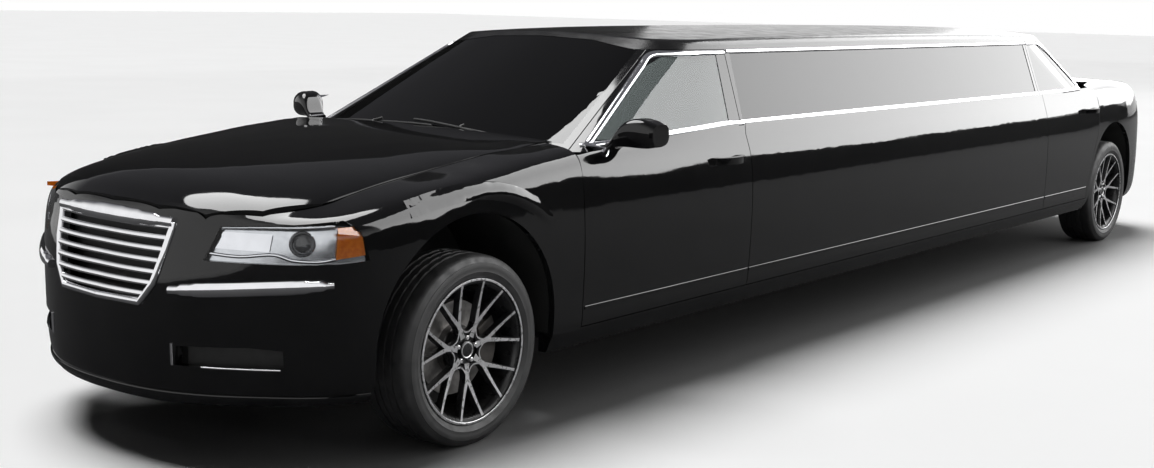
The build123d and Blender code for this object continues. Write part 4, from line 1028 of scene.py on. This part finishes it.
floor_reach = 90.0
floor_finish = finish_of("floor", 0.95, 0.97, 0.6, 0.9, 0.05)
corners = [(-1, -1), (1, -1), (1, 1), (-1, 1)]
mesh = bpy.data.meshes.new("floor")
mesh.from_pydata([(x * floor_reach, y * floor_reach, 0) for x, y in corners], [], [(0, 1, 2, 3)])
floor = bpy.data.objects.new("floor", mesh)
bpy.context.collection.objects.link(floor)
mesh.materials.append(floor_finish)

card_dark = finish_of("card_dark", (0.020, 0.020, 0.021), (0.030, 0.030, 0.031), 0.8, 0.9, 0.05)
ground = [(-40, -20, 0.003), (24, -20, 0.003), (24, 24, 0.003), (-40, 24, 0.003)]
card("ground_card", ground, [(0, 1, 2, 3)], card_dark)
count, hedge_y, hedge_top = 240, 9.0, 2.45
verts = []
for i in range(count + 1):
    x = -46 + 56 * i / count
    coarse = 0.9 * wobble.noise(Vector((x * 0.3, 0, 0)))
    fine = 0.4 * wobble.noise(Vector((x * 1.3, 3, 0)))
    verts += [(x, hedge_y, 0.0), (x, hedge_y, hedge_top + coarse + fine)]
faces = [(2 * i, 2 * i + 1, 2 * i + 3, 2 * i + 2) for i in range(count)]
card("hedge_card", verts, faces, card_dark)
far = [(-12, -9.5, 0), (-1, -20, 0), (-1, -20, 9), (-12, -9.5, 9)]
card("far_card", far, [(0, 1, 2, 3)], card_dark)

world = bpy.data.worlds.new("studio")
bpy.context.scene.world = world
world.use_nodes = True
sky = world.node_tree
soft = sky.nodes["Background"]
soft.inputs["Strength"].default_value = 0.32
seen = sky.nodes.new("ShaderNodeBackground")
place = sky.nodes.new("ShaderNodeTexCoord")
split = sky.nodes.new("ShaderNodeSeparateXYZ")
sky.links.new(place.outputs["Generated"], split.inputs["Vector"])
high = spread(sky, split.outputs["Z"], 1.0, (0.13, 0.13, 0.14), 0.2, 0.42)
ahead = spread(sky, split.outputs["X"], 0.0, 1.0, 0.12, 0.6)
front_sky = sky.nodes.new("ShaderNodeMix")
front_sky.data_type = "RGBA"
sky.links.new(ahead, front_sky.inputs["Factor"])
sky.links.new(high, front_sky.inputs["A"])
front_sky.inputs["B"].default_value = (1, 1, 1, 1)
sky.links.new(front_sky.outputs["Result"], seen.inputs["Color"])
path = sky.nodes.new("ShaderNodeLightPath")
rays = path.outputs["Is Camera Ray"]
for other in ("Is Glossy Ray", "Is Transmission Ray"):
    either = sky.nodes.new("ShaderNodeMath")
    either.operation = "MAXIMUM"
    sky.links.new(rays, either.inputs[0])
    sky.links.new(path.outputs[other], either.inputs[1])
    rays = either.outputs[0]
blend = sky.nodes.new("ShaderNodeMixShader")
sky.links.new(rays, blend.inputs["Fac"])
sky.links.new(soft.outputs["Background"], blend.inputs[1])
sky.links.new(seen.outputs["Background"], blend.inputs[2])
sky.links.new(blend.outputs["Shader"], sky.nodes["World Output"].inputs["Surface"])

sun = bpy.data.lights.new("sun", "SUN")
sun.energy = 2.9
sun.angle = math.radians(38)
holder = bpy.data.objects.new("sun", sun)
bpy.context.collection.objects.link(holder)
holder.rotation_euler = Vector((0.04, 0.34, -0.94)).to_track_quat("-Z", "Y").to_euler()
lamp_box("left_box", (-14, 16, 13.5), (0, 1, 2), (44, 24), 17000)
lamp_box("rear_box", (-24, -2, 7.5), (0, 0, 1.5), (15, 12), 1500)

camera = bpy.data.cameras.new("camera")
viewer = bpy.data.objects.new("camera", camera)
bpy.context.collection.objects.link(viewer)
bpy.context.scene.camera = viewer
yaw, pitch, roll = (math.radians(angle) for angle in (218.28, -8.45, 1.21))
flat = math.cos(pitch)
forward = Vector((flat * math.cos(yaw), flat * math.sin(yaw), math.sin(pitch)))
level_right = forward.cross(Vector((0, 0, 1))).normalized()
level_up = level_right.cross(forward)
right = level_right * math.cos(roll) + level_up * math.sin(roll)
up = level_up * math.cos(roll) - level_right * math.sin(roll)
turn = Matrix((right, up, -forward)).transposed()
viewer.matrix_world = Matrix.Translation((front + 3.876, 4.485, 1.633)) @ turn.to_4x4()
camera.lens = 46.1
camera.shift_x = -0.0078
camera.shift_y = -0.0139
bpy.context.scene.view_settings.view_transform = "Standard"
